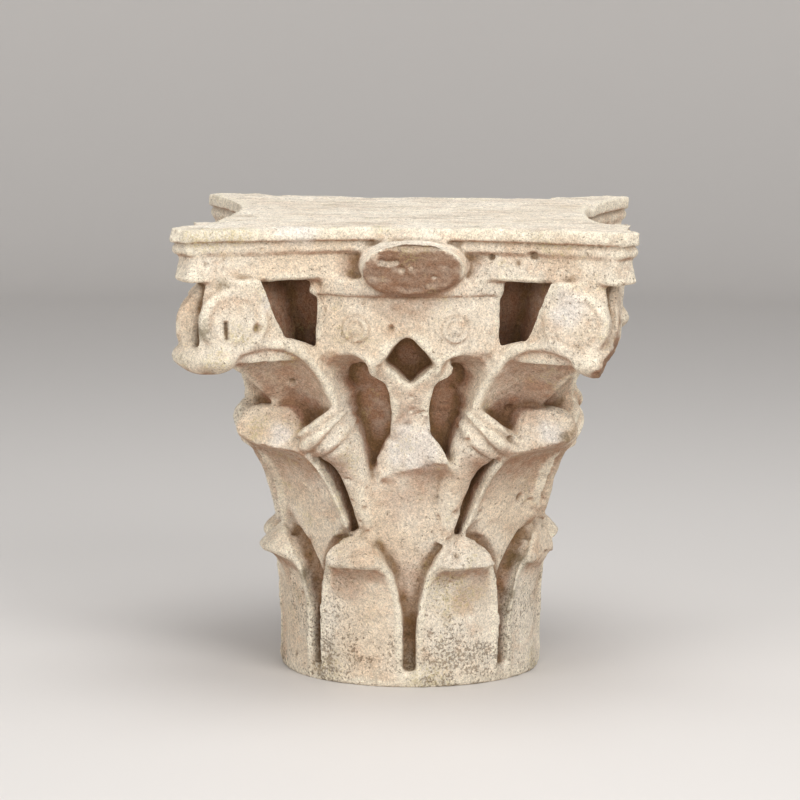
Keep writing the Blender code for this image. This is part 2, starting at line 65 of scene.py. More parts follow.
GROOVE_DEPTH = 0.013
COLLAR_HEIGHT = 0.232
COLLAR_RADIUS = 0.0245
LIP_RADIUS = 0.172
LIP_HEIGHT = 0.013
HELIX_RADIUS = 0.0165
HELIX_RELIEF = 0.003
VOLUTE_RADIUS = 0.029
VOLUTE_THICKNESS = 0.019
VOLUTE_RELIEF = 0.0025
VOLUTE_ASIDE = 0.0312
CANOPY_HALF_WIDTH = 0.063
CANOPY_EDGE = 0.0075
FLEURON_WIDTH = 0.088
FLEURON_HEIGHT = 0.047
FLEURON_OFFSET = 0.0066

ABACUS_BOTTOM = TOTAL_HEIGHT - ABACUS_HEIGHT
CROWN = ABACUS_BOTTOM - COLLAR_HEIGHT
CANOPY_CREST = COLLAR_HEIGHT + 0.625 * CROWN
HELIX_LEVEL = ABACUS_BOTTOM - 0.31 * CROWN
HELIX_FACE = LIP_RADIUS - 0.15 * LIP_HEIGHT
VOLUTE_LEVEL = ABACUS_BOTTOM - 1.14 * VOLUTE_RADIUS
CORNER_REACH = (ABACUS_WIDTH - CORNER_CUT) * math.sqrt(0.5)
CANOPY_START = 0.80 * LIP_RADIUS
CANOPY_REACH = CORNER_REACH - 0.67 * CORNER_CUT
VOLUTE_REACH = CORNER_REACH - 1.23 * VOLUTE_RADIUS
FLEURON_REACH = ABACUS_WIDTH / 2 - 0.27 * ABACUS_BOW
LEAF_BACK = FOOT_RADIUS - 1.8 * GROOVE_DEPTH
LEAF_PITCH = 360 / LOWER_LEAVES
LOWER_LEAF_SPREAD = LEAF_PITCH / 2 - math.degrees(GROOVE_WIDTH / 2 / FOOT_RADIUS)

FACES = (0, 90, 180, 270)
CORNERS = (45, 135, 225, 315)
LEAF_SWING = 1.5
MIDDLE_LEAF_SPREAD = 19.2
CORNER_LEAF_SPREAD = 23.0
HELIX_SPREAD = 14.5
FLEURON_SLOPE = 22.0
VOLUTE_TURN = 34.0

# Fineness of the visible mesh
VOXEL = 0.0017
TRIANGLES = 196000

# Leaves, as (share of the height, radius in the middle, radius at the rims, share of the width)
LOWER_LEAF = (
    (0.04, 0.99, 0.995, 0.99), (0.33, 0.985, 1.0, 1.0), (0.5, 0.99, 1.01, 0.965),
    (0.62, 1.005, 1.02, 0.905), (0.71, 1.035, 1.03, 0.835), (0.78, 1.105, 1.04, 0.745),
    (0.82, 1.195, 1.045, 0.67), (0.86, 1.215, 1.05, 0.6), (0.92, 1.155, 1.055, 0.47),
    (0.975, 1.09, 1.06, 0.27), (1.0, 1.06, 1.055, 0.07),
)
MIDDLE_LEAF = (
    (0.26, 0.9, 0.905, 0.885), (0.42, 0.945, 0.955, 0.96), (0.565, 0.995, 1.035, 0.99),
    (0.65, 1.02, 1.075, 1.0), (0.72, 1.035, 1.125, 0.95), (0.795, 1.095, 1.19, 0.83),
    (0.835, 1.215, 1.225, 0.75), (0.86, 1.33, 1.25, 0.69), (0.9, 1.365, 1.27, 0.59),
    (0.945, 1.34, 1.28, 0.44), (0.985, 1.3, 1.28, 0.21), (1.0, 1.28, 1.27, 0.06),
)
CORNER_LEAF = (
    (0.25, 0.9, 0.905, 0.87), (0.4, 0.945, 0.96, 0.945), (0.5, 0.98, 1.03, 0.975),
    (0.57, 1.005, 1.075, 0.905), (0.64, 1.04, 1.125, 0.805), (0.71, 1.09, 1.195, 0.715),
    (0.78, 1.18, 1.285, 0.635), (0.83, 1.31, 1.36, 0.56), (0.86, 1.49, 1.42, 0.5),
    (0.9, 1.63, 1.46, 0.435), (0.945, 1.65, 1.47, 0.375), (0.985, 1.59, 1.46, 0.3),
    (1.0, 1.53, 1.44, 0.22),
)
# (share of the height, share of the flare)
BELL = (
    (0.003, 0.0), (0.274, 0.0), (0.389, 0.09), (0.531, 0.19),
    (0.674, 0.34), (0.817, 0.6), (0.917, 0.83), (1.03, 1.0),
)
# Caulicoles, as (azimuth, radius, height, thickness)
STALK = (
    (15.6, 0.657, 0.56, 0.33), (17.4, 0.682, 0.668, 0.42), (19.5, 0.728, 0.785, 0.5),
    (21.9, 0.782, 0.885, 0.62), (25.0, 0.838, 0.95, 0.84), (28.2, 0.872, 0.99, 0.98),
    (31.0, 0.892, 1.035, 0.92),
)
STALK_ROOT = 1.6
# (rise, inner end, tip)
VOLUTE_STEM = (
    (-1.24, -2.07, 0.74),
    (0.0, -1.25, 0.75),
    (1.24, -0.65, 0.5),
)
# (keel's reach, keel's height, rim's reach, rim's height, half width)
CANOPY = (
    (0.0, -0.12, 0.02, 0.06, 1.0), (0.105, 0.07, 0.09, 0.38, 0.95), (0.23, 0.23, 0.165, 0.62, 0.89),
    (0.37, 0.41, 0.265, 0.81, 0.85), (0.515, 0.59, 0.405, 0.95, 0.81), (0.665, 0.67, 0.57, 1.0, 0.75),
    (0.8, 0.66, 0.74, 0.94, 0.62), (0.92, 0.68, 0.88, 0.81, 0.46), (1.0, 0.8, 0.985, 0.84, 0.2),
)
CANOPY_HOLLOW = 0.15
# (azimuth, share of the way from collars to abacus)
HELIX_FOOT = (
    (-27.5, 0.44), (-24.0, 0.53), (-19.0, 0.564), (-14.0, 0.557),
    (-10.5, 0.5), (-8.0, 0.455), (-5.5, 0.515), (-2.8, 0.598),
    (0.6, 0.644), (4.0, 0.598), (7.0, 0.515), (9.5, 0.455),
    (12.0, 0.5), (15.5, 0.557), (20.0, 0.564), (25.0, 0.51),
    (28.5, 0.44),
)
FORK = (
    (9.0, -0.15), (6.6, 0.09), (6.8, 0.2), (8.2, 0.32),
    (12.5, 0.38), (12.8, 0.455), (8.6, 0.475),
)
FORK_CROTCH = 0.322
INNER_LEAF = (
    (23.0, 0.076, 0.866, 0.105), (26.0, 0.258, 0.907, 0.128), (27.0, 0.409, 0.942, 0.116),
    (24.4, 0.508, 0.971, 0.105), (20.0, 0.553, 0.988, 0.093), (15.0, 0.557, 1.0, 0.087),
    (11.5, 0.523, 1.0, 0.076), (9.5, 0.462, 0.994, 0.058), (9.0, 0.394, 0.971, 0.047),
)
INNER_LEAF_EYE = (18.0, 0.27)
# Where tips have snapped off, as (radius, share of the height, turn, tilt)
LOWER_BREAKS = {
    0: (1.17, 0.83, 4, 34),
    1: (1.1, 0.87, 0, 10),
    3: (1.14, 0.84, -8, 25),
    4: (1.18, 0.83, 5, 40),
    7: (1.18, 0.83, -4, 37),
}
MIDDLE_BREAKS = {
    0: (1.155, 0.837, -22, -3),
    90: (1.24, 0.86, 10, 20),
    180: (1.21, 0.84, 8, 10),
    270: (1.28, 0.88, -6, 25),
}
CORNER_BREAKS = {
    45: (1.59, 0.91, -30, 12),
    135: (1.57, 0.91, 20, 15),
    225: (1.62, 0.92, -20, 10),
    315: (1.52, 0.91, 38, 8),
}
CORNER_LOSSES = {
    45: ((0.943, 0.8, 41, 0), (0.93, 0.63, 38, -26)),
    315: ((0.985, 0.86, -42, 40),),
}
HOLLOW_CORNER = 315

# Single pits and knocks, as (column, row) in the 800 by 800 picture, then size and depth
SUNK_MARKS = (
    (391, 329, 0.0045, 0.004), (350, 340, 0.0035, 0.003), (318, 285, 0.0035, 0.003),
    (262, 250, 0.003, 0.0025), (206, 265, 0.003, 0.0025), (492, 257, 0.004, 0.0035),
    (518, 264, 0.0035, 0.003), (468, 265, 0.004, 0.0035), (407, 425, 0.0035, 0.003),
    (424, 413, 0.0035, 0.003), (468, 441, 0.0035, 0.003), (226, 324, 0.003, 0.005),
    (226, 329, 0.003, 0.0055), (226.5, 334, 0.003, 0.0055), (227, 339, 0.003, 0.005),
    (382, 262, 0.004, 0.0035), (389, 263, 0.004, 0.0035), (396, 262, 0.0035, 0.003),
    (402, 269, 0.004, 0.003), (256, 335, 0.006, 0.0015), (233, 558, 0.005, 0.0025),
)
# Patches on the stone, as (column, row) in the same picture, then size
PATCHES = {
    # pink: painted shade on the leaf faces under the breaks and under the canopies
    "pink_shade": (
        (430, 478, 0.024), (408, 505, 0.026), (262, 388, 0.02), (292, 402, 0.024),
        (545, 388, 0.02), (518, 402, 0.024), (268, 470, 0.016), (350, 590, 0.018),
        (470, 590, 0.018), (560, 372, 0.016),
    ),
    "lichen": (
        (256, 424, 0.012), (252, 434, 0.009), (205, 236, 0.022), (238, 234, 0.02),
        (455, 590, 0.03), (430, 676, 0.02), (240, 335, 0.014), (330, 668, 0.02),
        (216, 360, 0.016), (533, 660, 0.016),
    ),
    "bare": (
        (410, 448, 0.026), (279, 436, 0.013), (552, 432, 0.013), (300, 229, 0.02),
        (566, 310, 0.018), (265, 305, 0.01),
    ),
    "moss": (
        (571, 437, 0.01), (518, 560, 0.014), (512, 600, 0.014), (310, 575, 0.012),
        (222, 285, 0.008), (204, 334, 0.01),
    ),
}

# Rings cut into the helices and the corner volutes, as (radius, width, strength)
HELIX_RINGS = ((0.0128, 0.0012, 1.0), (0.0066, 0.0011, 0.8))
VOLUTE_RINGS = ((0.0195, 0.0013, 1.0), (0.0100, 0.0013, 0.5))
VOLUTE_RING_STRENGTH = 0.6
COLLAR_LINES = (0.665, 0.790, 0.930)

# Depths of the wear and of the low relief
CHIP_DEPTH = 0.0024
BREAK_DEPTH = 0.0014
RING_DEPTH = 0.0024
CREASE_DEPTH = 0.0045
LINE_DEPTH = 0.0030
STREAK_DEPTH = 0.0006
PITS = 700
SMALLEST_PIT = 0.0016
PIT_SPREAD = 0.0032
BREAK_REACH = 0.055

# Cells in which the stone is counted to find what is sheltered
CELL = 0.004
CELLS_LOW = (-0.24, -0.24, -0.04)
CELLS_SPAN = (0.48, 0.48, 0.49)

# Display colours, 0 to 255
CREAM = (230, 211, 186)
PALE_CREAM = (242, 230, 211)
WARM_CLOUD = (217, 186, 156)
PALE_BED = (247, 238, 222)
BED_STREAK = (186, 164, 138)
# Patina with painted shade in the hollows and under parts that face down
SHELTER_PATINA_AND_SHADE = (164, 122, 95)
# Painted shade deep in the recesses
DEEP_PAINTED_SHADE = (140, 100, 72)
# Broken stone's colour with painted shade on breaks that face down
SNAPPED_AND_SHADE = (142, 105, 80)
# Earth with painted shade in the grooves and creases
EARTH_AND_SHADE = (128, 98, 64)
RING_LINE = (176, 140, 108)
# Wear with a painted highlight on the sharp rims
WORN_RIM_AND_HIGHLIGHT = (246, 235, 213)
# Painted pink shade
PINK_PAINTED_SHADE = (168, 130, 106)
BARE_STONE = (240, 232, 222)
LICHEN = (176, 160, 108)
MOSS = (104, 84, 48)
SPECK = (116, 90, 60)

# Studio, with lamps as (name, place, power, size), and camera
FLOOR_REACH = 3.7
FLOOR_BEND = 0.7
FLOOR_WALL = 1.6
FLOOR_COLOUR = (0.68, 0.65, 0.62, 1)
SKY_COLOUR = (0.86, 0.88, 0.92, 1)
SKY_STRENGTH = 0.30
LAMPS = (
    ("key", (1.5, -2.3, 1.9), 49, 1.5),
    ("fill", (-2.2, -2.0, 1.5), 26, 1.7),
    ("front", (-0.3, -3.2, 1.2), 22, 1.4),
    ("above", (0.2, -0.2, 2.6), 40, 1.8),
)
LAMP_AIM = (0, 0, 0.22)
CAMERA_YAW, CAMERA_PITCH, CAMERA_ROLL = 2.0, 8.0, 0.25
CAMERA_BACK, CAMERA_LEFT, CAMERA_HEIGHT = 3.164, 0.0102, 0.684
CAMERA_LENS = 159.12
CAMERA_SENSOR = 36
PICTURE_HALF = 400

broken_faces = []
collar_lines = []


def spline(rows, count):
    """Rows on a smooth curve through the given ones, evenly spaced by row number."""
    rows = np.array(rows, float)
    padded = np.vstack([2 * rows[0] - rows[1], rows, 2 * rows[-1] - rows[-2]])
    found = []
    for place in np.linspace(0, len(rows) - 1, count):
        start = min(int(place), len(rows) - 2)
        share = place - start
        a, b, c, d = padded[start : start + 4]
        bend = 2 * a - 5 * b + 4 * c - d
        twist = 3 * b - a - 3 * c + d
        found.append(0.5 * (2 * b + (c - a) * share + bend * share**2 + twist * share**3))
    return np.array(found)


def hump(place, centre, width):
    """A smooth hump of height 1 that fades to nothing past its width."""
    return np.exp(-(((place - centre) / width) ** 2))


def step(low, high, values):
    """A smooth step from 0 at low to 1 at high."""
    share = np.clip((np.asarray(values, float) - low) / (high - low), 0, 1)
    return share * share * (3 - 2 * share)


def crown_height(share):
    """The height at a share of the way from the collars to the abacus."""
    return COLLAR_HEIGHT + share * CROWN


def around(radius, degrees, height):
    """The point at a radius and an azimuth, which is 0 at the front and grows towards +X."""
    turn = math.radians(degrees)
    return (radius * math.sin(turn), -radius * math.cos(turn), height)


def beside(reach, aside, height, azimuth):
    """The point at a reach along an azimuth and a distance to the side of it."""
    turn = math.radians(azimuth)
    x = reach * math.sin(turn) + aside * math.cos(turn)
    y = -reach * math.cos(turn) + aside * math.sin(turn)
    return (x, y, height)


def circle(sides):
    """(cosine, sine) of evenly spaced turns."""
    turns = np.linspace(0, 2 * math.pi, sides, endpoint=False)
    return [(math.cos(turn), math.sin(turn)) for turn in turns]


def loft(rings):
    """A closed mesh through rings of points, capped at both ends."""
    mesh = bmesh.new()
    layers = [[mesh.verts.new(point) for point in ring] for ring in rings]
    for low, high in zip(layers, layers[1:]):
        for i in range(len(low)):
            j = (i + 1) % len(low)
            mesh.faces.new((low[i], low[j], high[j], high[i]))
    mesh.faces.new(layers[0][::-1])
    mesh.faces.new(layers[-1])
    bmesh.ops.triangulate(mesh, faces=mesh.faces[:])
    bmesh.ops.recalc_face_normals(mesh, faces=mesh.faces[:])
    return mesh


def swept(levels, sides, place):
    """A closed mesh through a ring for each level, of the points that place() gives."""
    return loft([[place(*turn, *level) for turn in circle(sides)] for level in levels])


def broken(mesh, azimuth, reach, level, turn, tilt):
    """The mesh snapped off along a plane through a point of an azimuth, and closed again. The
    break faces outward, turned aside and tilted up by angles in degrees."""
    rise = math.radians(tilt)
    outward = beside(math.cos(rise), 0, math.sin(rise), azimuth + turn)
    point = beside(reach, 0, level, azimuth)
    broken_faces.append((np.array(point), np.array(outward)))
    parts = mesh.verts[:] + mesh.edges[:] + mesh.faces[:]
    found = bmesh.ops.bisect_plane(
        mesh, geom=parts, plane_co=point, plane_no=outward, clear_outer=True
    )
    edges = [item for item in found["geom_cut"] if isinstance(item, bmesh.types.BMEdge)]
    bmesh.ops.holes_fill(mesh, edges=edges)
    bmesh.ops.triangulate(mesh, faces=mesh.faces[:])
    return mesh


def ball(centre, radii, azimuth, rows=24, sides=40):
    """An egg-shaped lump at a (reach, aside, height) of an azimuth."""

    def place(cosine, sine, turn):
        reach = centre[0] + radii[0] * math.sin(turn) * cosine
        aside = centre[1] + radii[1] * math.sin(turn) * sine
        return beside(reach, aside, centre[2] + radii[2] * math.cos(turn), azimuth)

    return swept([(turn,) for turn in np.linspace(0.02, math.pi - 0.02, rows)], sides, place)


def relief(outline, foot, head):
    """A shape of (azimuth, height) points raised from the bell to one radius at the outline's
    lowest point and another at its highest."""
    outline = np.array(outline, float)
    low = outline[:, 1].min()
    high = outline[:, 1].max()
    front = []
    for azimuth, height in outline:
        radius = foot + (head - foot) * (height - low) / (high - low)
        front.append(around(radius, azimuth, height))
    back = [around(LEAF_BACK, azimuth, height) for azimuth, height in outline]
    return loft([back, front])


def bell(sides=240):
    """The foot, the grooves' floor and the flaring body behind the leaves."""
    floor = FOOT_RADIUS - GROOVE_DEPTH
    neck = LIP_RADIUS - 1.15 * LIP_HEIGHT
    profile = [(0.0, FOOT_RADIUS), (FOOT_BAND, FOOT_RADIUS)]
    for height, flare in spline(BELL, 29):
        level = FOOT_BAND + height * (ABACUS_BOTTOM - FOOT_BAND)
        profile.append((level, floor + flare * (neck - floor)))
    angles = np.linspace(0, 360, sides, endpoint=False)
    return loft([[around(radius, angle, level) for angle in angles] for level, radius in profile])


def leaf(azimuth, height, spread, profile, rows=110, columns=71, sharpness=5, band=0.0046):
    """A leaf against the bell: a hollow face between two raised rims, and a tip that curls out."""
    across = np.linspace(-1, 1, columns)
    rings = []
    for share, middle, rim, width in spline(profile, rows):
        half = width * spread
        narrow = band / max(FOOT_RADIUS * math.radians(half), 2 * band)
        proud = 0.0021 * step(0.98, 0.85, share)
        ring = []
        for u in across:
            radius = FOOT_RADIUS * (middle + (rim - middle) * abs(u) ** sharpness)
            radius += proud * step(1 - 1.5 * narrow, 1 - narrow, abs(u))
            ring.append(around(radius, azimuth + half * u, share * height))
        ring += [around(LEAF_BACK, azimuth + half * u, share * height) for u in (1, 0.4, -0.4, -1)]
        rings.append(ring)
    return loft(rings)


def lower_leaves():
    leaves = []
    for index in range(LOWER_LEAVES):
        azimuth = LEAF_SWING + LEAF_PITCH * (index + 0.5)
        one = leaf(azimuth, LOWER_LEAF_HEIGHT, LOWER_LEAF_SPREAD, LOWER_LEAF)
        if index in LOWER_BREAKS:
            radius, level, turn, tilt = LOWER_BREAKS[index]
            reach = radius * FOOT_RADIUS
            one = broken(one, azimuth, reach, level * LOWER_LEAF_HEIGHT, turn, tilt)
        leaves.append(one)
    return leaves


def upper_leaf(azimuth, swing, height, spread, profile, breaks):
    """A leaf of the upper tier with its tip snapped off."""
    radius, level, turn, tilt = breaks[azimuth]
    one = leaf(azimuth + swing, height, spread, profile)
    return broken(one, azimuth + swing, radius * FOOT_RADIUS, level * height, turn, tilt)


def stalk(azimuth, side, rows=70, sides=48):
    """A caulicole: a tapering stem that leans to one side and ends in a doubled collar."""
    found = spline(STALK, rows)
    centres = [
        around(radius * LIP_RADIUS, azimuth + side * angle, height * COLLAR_HEIGHT)
        for angle, radius, height, _ in found
    ]
    along = np.gradient(np.array(centres), axis=0)
    rings = []
    for index, centre in enumerate(centres):
        share = index / (rows - 1)
        outward = Vector((centre[0], centre[1], 0)).normalized()
        forward = Vector(along[index]).normalized()
        aside = forward.cross(outward).normalized()
        lift = aside.cross(forward).normalized()
        swell = 1 + 0.11 * hump(share, 0.72, 0.026) + 0.19 * hump(share, 0.86, 0.042)
        width = found[index][3] * COLLAR_RADIUS * swell
        depth = (0.55 * found[index][3] + 0.26) * COLLAR_RADIUS * swell
        ring = []
        for cosine, sine in circle(sides):
            sunk = STALK_ROOT * COLLAR_RADIUS * min(sine, 0)
            point = Vector(centre) + aside * width * cosine + lift * depth * sine
            ring.append(point + outward * sunk)
        rings.append(ring)
    for share in COLLAR_LINES:
        index = round(share * (rows - 1))
        forward = along[index] / np.linalg.norm(along[index])
        collar_lines.append((np.array(centres[index]), forward))
    return loft(rings)


def inner_leaf(azimuth, side, rows=70):
    """The small leaf that turns from a collar towards the middle: a rim that arches over a deep
    hollow and curls down at its end."""
    eye_angle, eye_share = INNER_LEAF_EYE
    rim_width = 0.6 * CANOPY_EDGE
    rings = []
    for angle, share, radius_share, width_share in spline(INNER_LEAF, rows):
        radius = radius_share * LIP_RADIUS
        level = crown_height(share)
        away = Vector((math.radians(eye_angle - angle) * radius, crown_height(eye_share) - level))
        away.normalize()
        hollow = width_share * LIP_RADIUS
        steps = ((0, 0), (rim_width, 0.006), (hollow, 0.175), (0, 0.26))
        ring = []
        for along, sunk in steps:
            turned = azimuth + side * (angle + math.degrees(away.x * along / radius))
            ring.append(around(radius - sunk * LIP_RADIUS, turned, level + away.y * along))
        rings.append(ring)
    return loft(rings)


def fork(azimuth):
    """The stem between the inner leaves, which parts into two arms under the helices."""
    right = [(azimuth + angle, crown_height(share)) for angle, share in spline(FORK, 31)]
    left = [(2 * azimuth - angle, height) for angle, height in right]
    crotch = [(azimuth, crown_height(FORK_CROTCH))]
    return relief(right + crotch + left[::-1], 0.74 * LIP_RADIUS, 0.965 * LIP_RADIUS)


def helix_band(azimuth):
    """The band across the middle of a face, and the lip along its head."""
    top = ABACUS_BOTTOM + 0.15 * LIP_HEIGHT
    foot = [(azimuth + angle, crown_height(share)) for angle, share in spline(HELIX_FOOT, 97)]
    head = [(angle, top) for angle, _ in foot[::-1]]
    half = HELIX_FOOT[-1][0] + 1
    edges = np.linspace(azimuth - half, azimuth + half, 31)
    lip_foot = [(angle, ABACUS_BOTTOM - LIP_HEIGHT) for angle in edges]
    lip_head = [(angle, top) for angle in edges[::-1]]
    return [
        relief(foot + head, HELIX_FACE, HELIX_FACE),
        relief(lip_foot + lip_head, LIP_RADIUS, LIP_RADIUS),
    ]


def helix(azimuth, side, sides=56):
    """A middle volute: a low round boss on the band."""

    def place(cosine, sine, share, swell):
        radius = HELIX_FACE + share * HELIX_RELIEF
        turned = side * HELIX_SPREAD + math.degrees(HELIX_RADIUS * swell * cosine / radius)
        return around(radius, azimuth + turned, HELIX_LEVEL + HELIX_RADIUS * swell * sine)

    return swept(((-7.0, 1.0), (0.3, 1.0), (1.0, 0.85)), sides, place)


def canopy(azimuth, rows=80, columns=27):
    """The corner leaf: two hollow halves that meet on a keel, with a thick edge that arches over
    from the collars and curls under the volutes."""
    span = CANOPY_REACH - CANOPY_START
    rise = CANOPY_CREST - COLLAR_HEIGHT
    rings = []
    for keel_reach, keel_height, rim_reach, rim_height, half in spline(CANOPY, rows):
        keel = Vector((CANOPY_START + keel_reach * span, 0, COLLAR_HEIGHT + keel_height * rise))
        rim = Vector((CANOPY_START + rim_reach * span, half * CANOPY_HALF_WIDTH, 0))
        rim.z = COLLAR_HEIGHT + rim_height * rise
        edge = rim - Vector((0.13, 0.20, 1.0)) * CANOPY_EDGE
        sag = CANOPY_HOLLOW * (edge - keel).length
        half_ring = []
        for share in np.linspace(0, 1, columns):
            inward = Vector((-0.35, 0, 0.94)) * sag * math.sin(math.pi * share) ** 0.8
            half_ring.append(keel.lerp(edge, share) + inward)
        half_ring += [rim, rim - Vector((2.9 * CANOPY_EDGE, 0.1 * rim.y, 0.13 * CANOPY_EDGE))]
        near = [beside(p.x, p.y, p.z, azimuth) for p in half_ring]
        far = [beside(p.x, -p.y, p.z, azimuth) for p in half_ring[:0:-1]]
        rings.append(far + near)
    return loft(rings)


def volute_stem(azimuth):
    """The wedge that carries a corner's two volutes, notched where they part."""
    rings = []
    for rise, inner, tip in VOLUTE_STEM:
        inner_end = VOLUTE_REACH + inner * VOLUTE_RADIUS
        tip_end = VOLUTE_REACH + tip * VOLUTE_RADIUS
        side_end = min(inner_end, tip_end - 1.45 * VOLUTE_RADIUS) + 0.69 * VOLUTE_RADIUS
        plan = (
            (CANOPY_START, 0.1 * VOLUTE_RADIUS),
            (inner_end - 0.3 * VOLUTE_RADIUS, 0.7 * VOLUTE_RADIUS),
            (inner_end, 1.55 * VOLUTE_RADIUS),
            (side_end, 1.48 * VOLUTE_RADIUS),
            (tip_end - 0.41 * VOLUTE_RADIUS, 0.86 * VOLUTE_RADIUS),
            (tip_end, 0.38 * VOLUTE_RADIUS),
        )
        height = VOLUTE_LEVEL + rise * VOLUTE_RADIUS
        near = [beside(reach, aside, height, azimuth) for reach, aside in plan]
        far = [beside(reach, -aside, height, azimuth) for reach, aside in plan[::-1]]
        rings.append(near + [beside(tip_end - 0.48 * VOLUTE_RADIUS, 0, height, azimuth)] + far)
    return loft(rings)


def volute(azimuth, side, sides=64):
    """One corner volute: a thick disc that faces nearly along its side of the abacus."""
    centre = Vector((VOLUTE_REACH, VOLUTE_ASIDE, VOLUTE_LEVEL))
    turn = math.radians(VOLUTE_TURN)
    along = Vector((math.cos(turn), -math.sin(turn), 0))
    proud = Vector((-along.y, along.x, 0))

    def place(cosine, sine, depth, swell):
        point = centre + proud * depth + along * VOLUTE_RADIUS * swell * cosine
        level = point.z + VOLUTE_RADIUS * swell * sine
        return beside(point.x, side * point.y, level, azimuth)

    levels = ((VOLUTE_RELIEF - VOLUTE_THICKNESS, 1.0), (0.0, 1.0), (VOLUTE_RELIEF, 0.9))
    return swept(levels, sides, place)


def corner(azimuth):
    """The canopy with the roll at its tip and the volutes on it, less what has broken away."""
    roll_centre = (CANOPY_REACH - 0.66 * VOLUTE_RADIUS, 0, CANOPY_CREST - 0.55 * VOLUTE_RADIUS)
    roll = (0.69 * VOLUTE_RADIUS, 1.24 * VOLUTE_RADIUS, 0.50 * VOLUTE_RADIUS)
    shells = [
        canopy(azimuth),
        ball(roll_centre, roll, azimuth),
        volute_stem(azimuth),
        volute(azimuth, -1),
        volute(azimuth, 1),
    ]
    for reach, share, turn, tilt in CORNER_LOSSES.get(azimuth, ()):
        level = crown_height(share)
        for shell in shells:
            broken(shell, azimuth, reach * CORNER_REACH, level, turn, tilt)
    return shells


def abacus(points=61):
    """The moulded slab on top: four bowed sides that meet in cut corners."""
    slab_foot = TOTAL_HEIGHT - SLAB_HEIGHT
    fillet_head = slab_foot - 0.75 * MOULDING_STEP
    fillet_foot = fillet_head - FILLET_HEIGHT
    levels = (
        (ABACUS_BOTTOM, 1.7 * MOULDING_STEP),
        (ABACUS_BOTTOM + 0.9 * MOULDING_STEP, 0.6 * MOULDING_STEP),
        (ABACUS_BOTTOM + 0.4 * (fillet_foot - ABACUS_BOTTOM), 1.3 * MOULDING_STEP),
        (fillet_foot - 0.3 * MOULDING_STEP, 2.1 * MOULDING_STEP),
        (fillet_foot + 0.3 * MOULDING_STEP, 0.7 * MOULDING_STEP),
        (fillet_head, 0.4 * MOULDING_STEP),
        (fillet_head + 0.15 * MOULDING_STEP, MOULDING_STEP),
        (slab_foot - 0.15 * MOULDING_STEP, MOULDING_STEP),
        (slab_foot + 0.3 * MOULDING_STEP, 0.0),
        (TOTAL_HEIGHT, 0.0),
    )
    rings = []
    for height, inset in levels:
        half = ABACUS_WIDTH / 2 - inset
        ring = []
        for azimuth in FACES:
            for share in np.linspace(-1, 1, points):
                reach = half - ABACUS_BOW * (1 - share**2)
                ring.append(beside(reach, share * (half - CORNER_CUT), height, azimuth))
        rings.append(ring)
    return loft(rings)


def fleuron(azimuth, sides=72):
    """A boss in the middle of an abacus side, snapped off on a slope that faces down a little."""
    level = ABACUS_BOTTOM + 0.27 * ABACUS_HEIGHT
    root = ABACUS_WIDTH / 2 - 1.33 * ABACUS_BOW

    def place(cosine, sine, forward, swell):
        reach = root + forward * (FLEURON_REACH - root)
        aside = FLEURON_OFFSET + swell * FLEURON_WIDTH / 2 * cosine
        return beside(reach, aside, level + swell * FLEURON_HEIGHT / 2 * sine, azimuth)

    boss = swept(((0, 1.12), (0.45, 1.06), (0.8, 1.0), (1.5, 0.98)), sides, place)
    return broken(boss, azimuth, FLEURON_REACH, level, 0, -FLEURON_SLOPE)


def face(azimuth):
    """What belongs to one face of the capital."""
    middle = upper_leaf(
        azimuth, LEAF_SWING, MIDDLE_LEAF_HEIGHT, MIDDLE_LEAF_SPREAD, MIDDLE_LEAF, MIDDLE_BREAKS
    )
    shells = [middle, fork(azimuth + LEAF_SWING), fleuron(azimuth), *helix_band(azimuth)]
    for side in (-1, 1):
        shells += [stalk(azimuth, side), inner_leaf(azimuth, side), helix(azimuth, side)]
    return shells


def shown(name, data):
    """A new object in the scene that shows some data."""
    found = bpy.data.objects.new(name, data)
    bpy.context.scene.collection.objects.link(found)
    return found


def object_of(name, shells):
    """One object that holds closed shells, which may overlap."""
    whole = bmesh.new()
    for shell in shells:
        piece = bpy.data.meshes.new("shell")
        shell.to_mesh(piece)
        shell.free()
        whole.from_mesh(piece)
        bpy.data.meshes.remove(piece)
    data = bpy.data.meshes.new(name)
    whole.to_mesh(data)
    whole.free()
    return shown(name, data)


def applied(stone):
    """The object with its modifiers made part of its mesh."""
    graph = bpy.context.evaluated_depsgraph_get()
    data = bpy.data.meshes.new_from_object(stone.evaluated_get(graph))
    stone.modifiers.clear()
    old = stone.data
    stone.data = data
    bpy.data.meshes.remove(old)
    data.name = stone.name
    return stone


def remeshed(stone):
    skin = stone.modifiers.new("one skin", "REMESH")
    skin.mode = "VOXEL"
    skin.voxel_size = VOXEL
    return applied(stone)


def cut_away(stone, shells):
    """The stone less the volume of some closed shells."""
    cutter = remeshed(object_of("cutter", shells))
    hole = stone.modifiers.new("loss", "BOOLEAN")
    hole.operation = "DIFFERENCE"
    hole.solver = "MANIFOLD"
    hole.object = cutter
    applied(stone)
    bpy.data.objects.remove(cutter, do_unlink=True)
    return stone


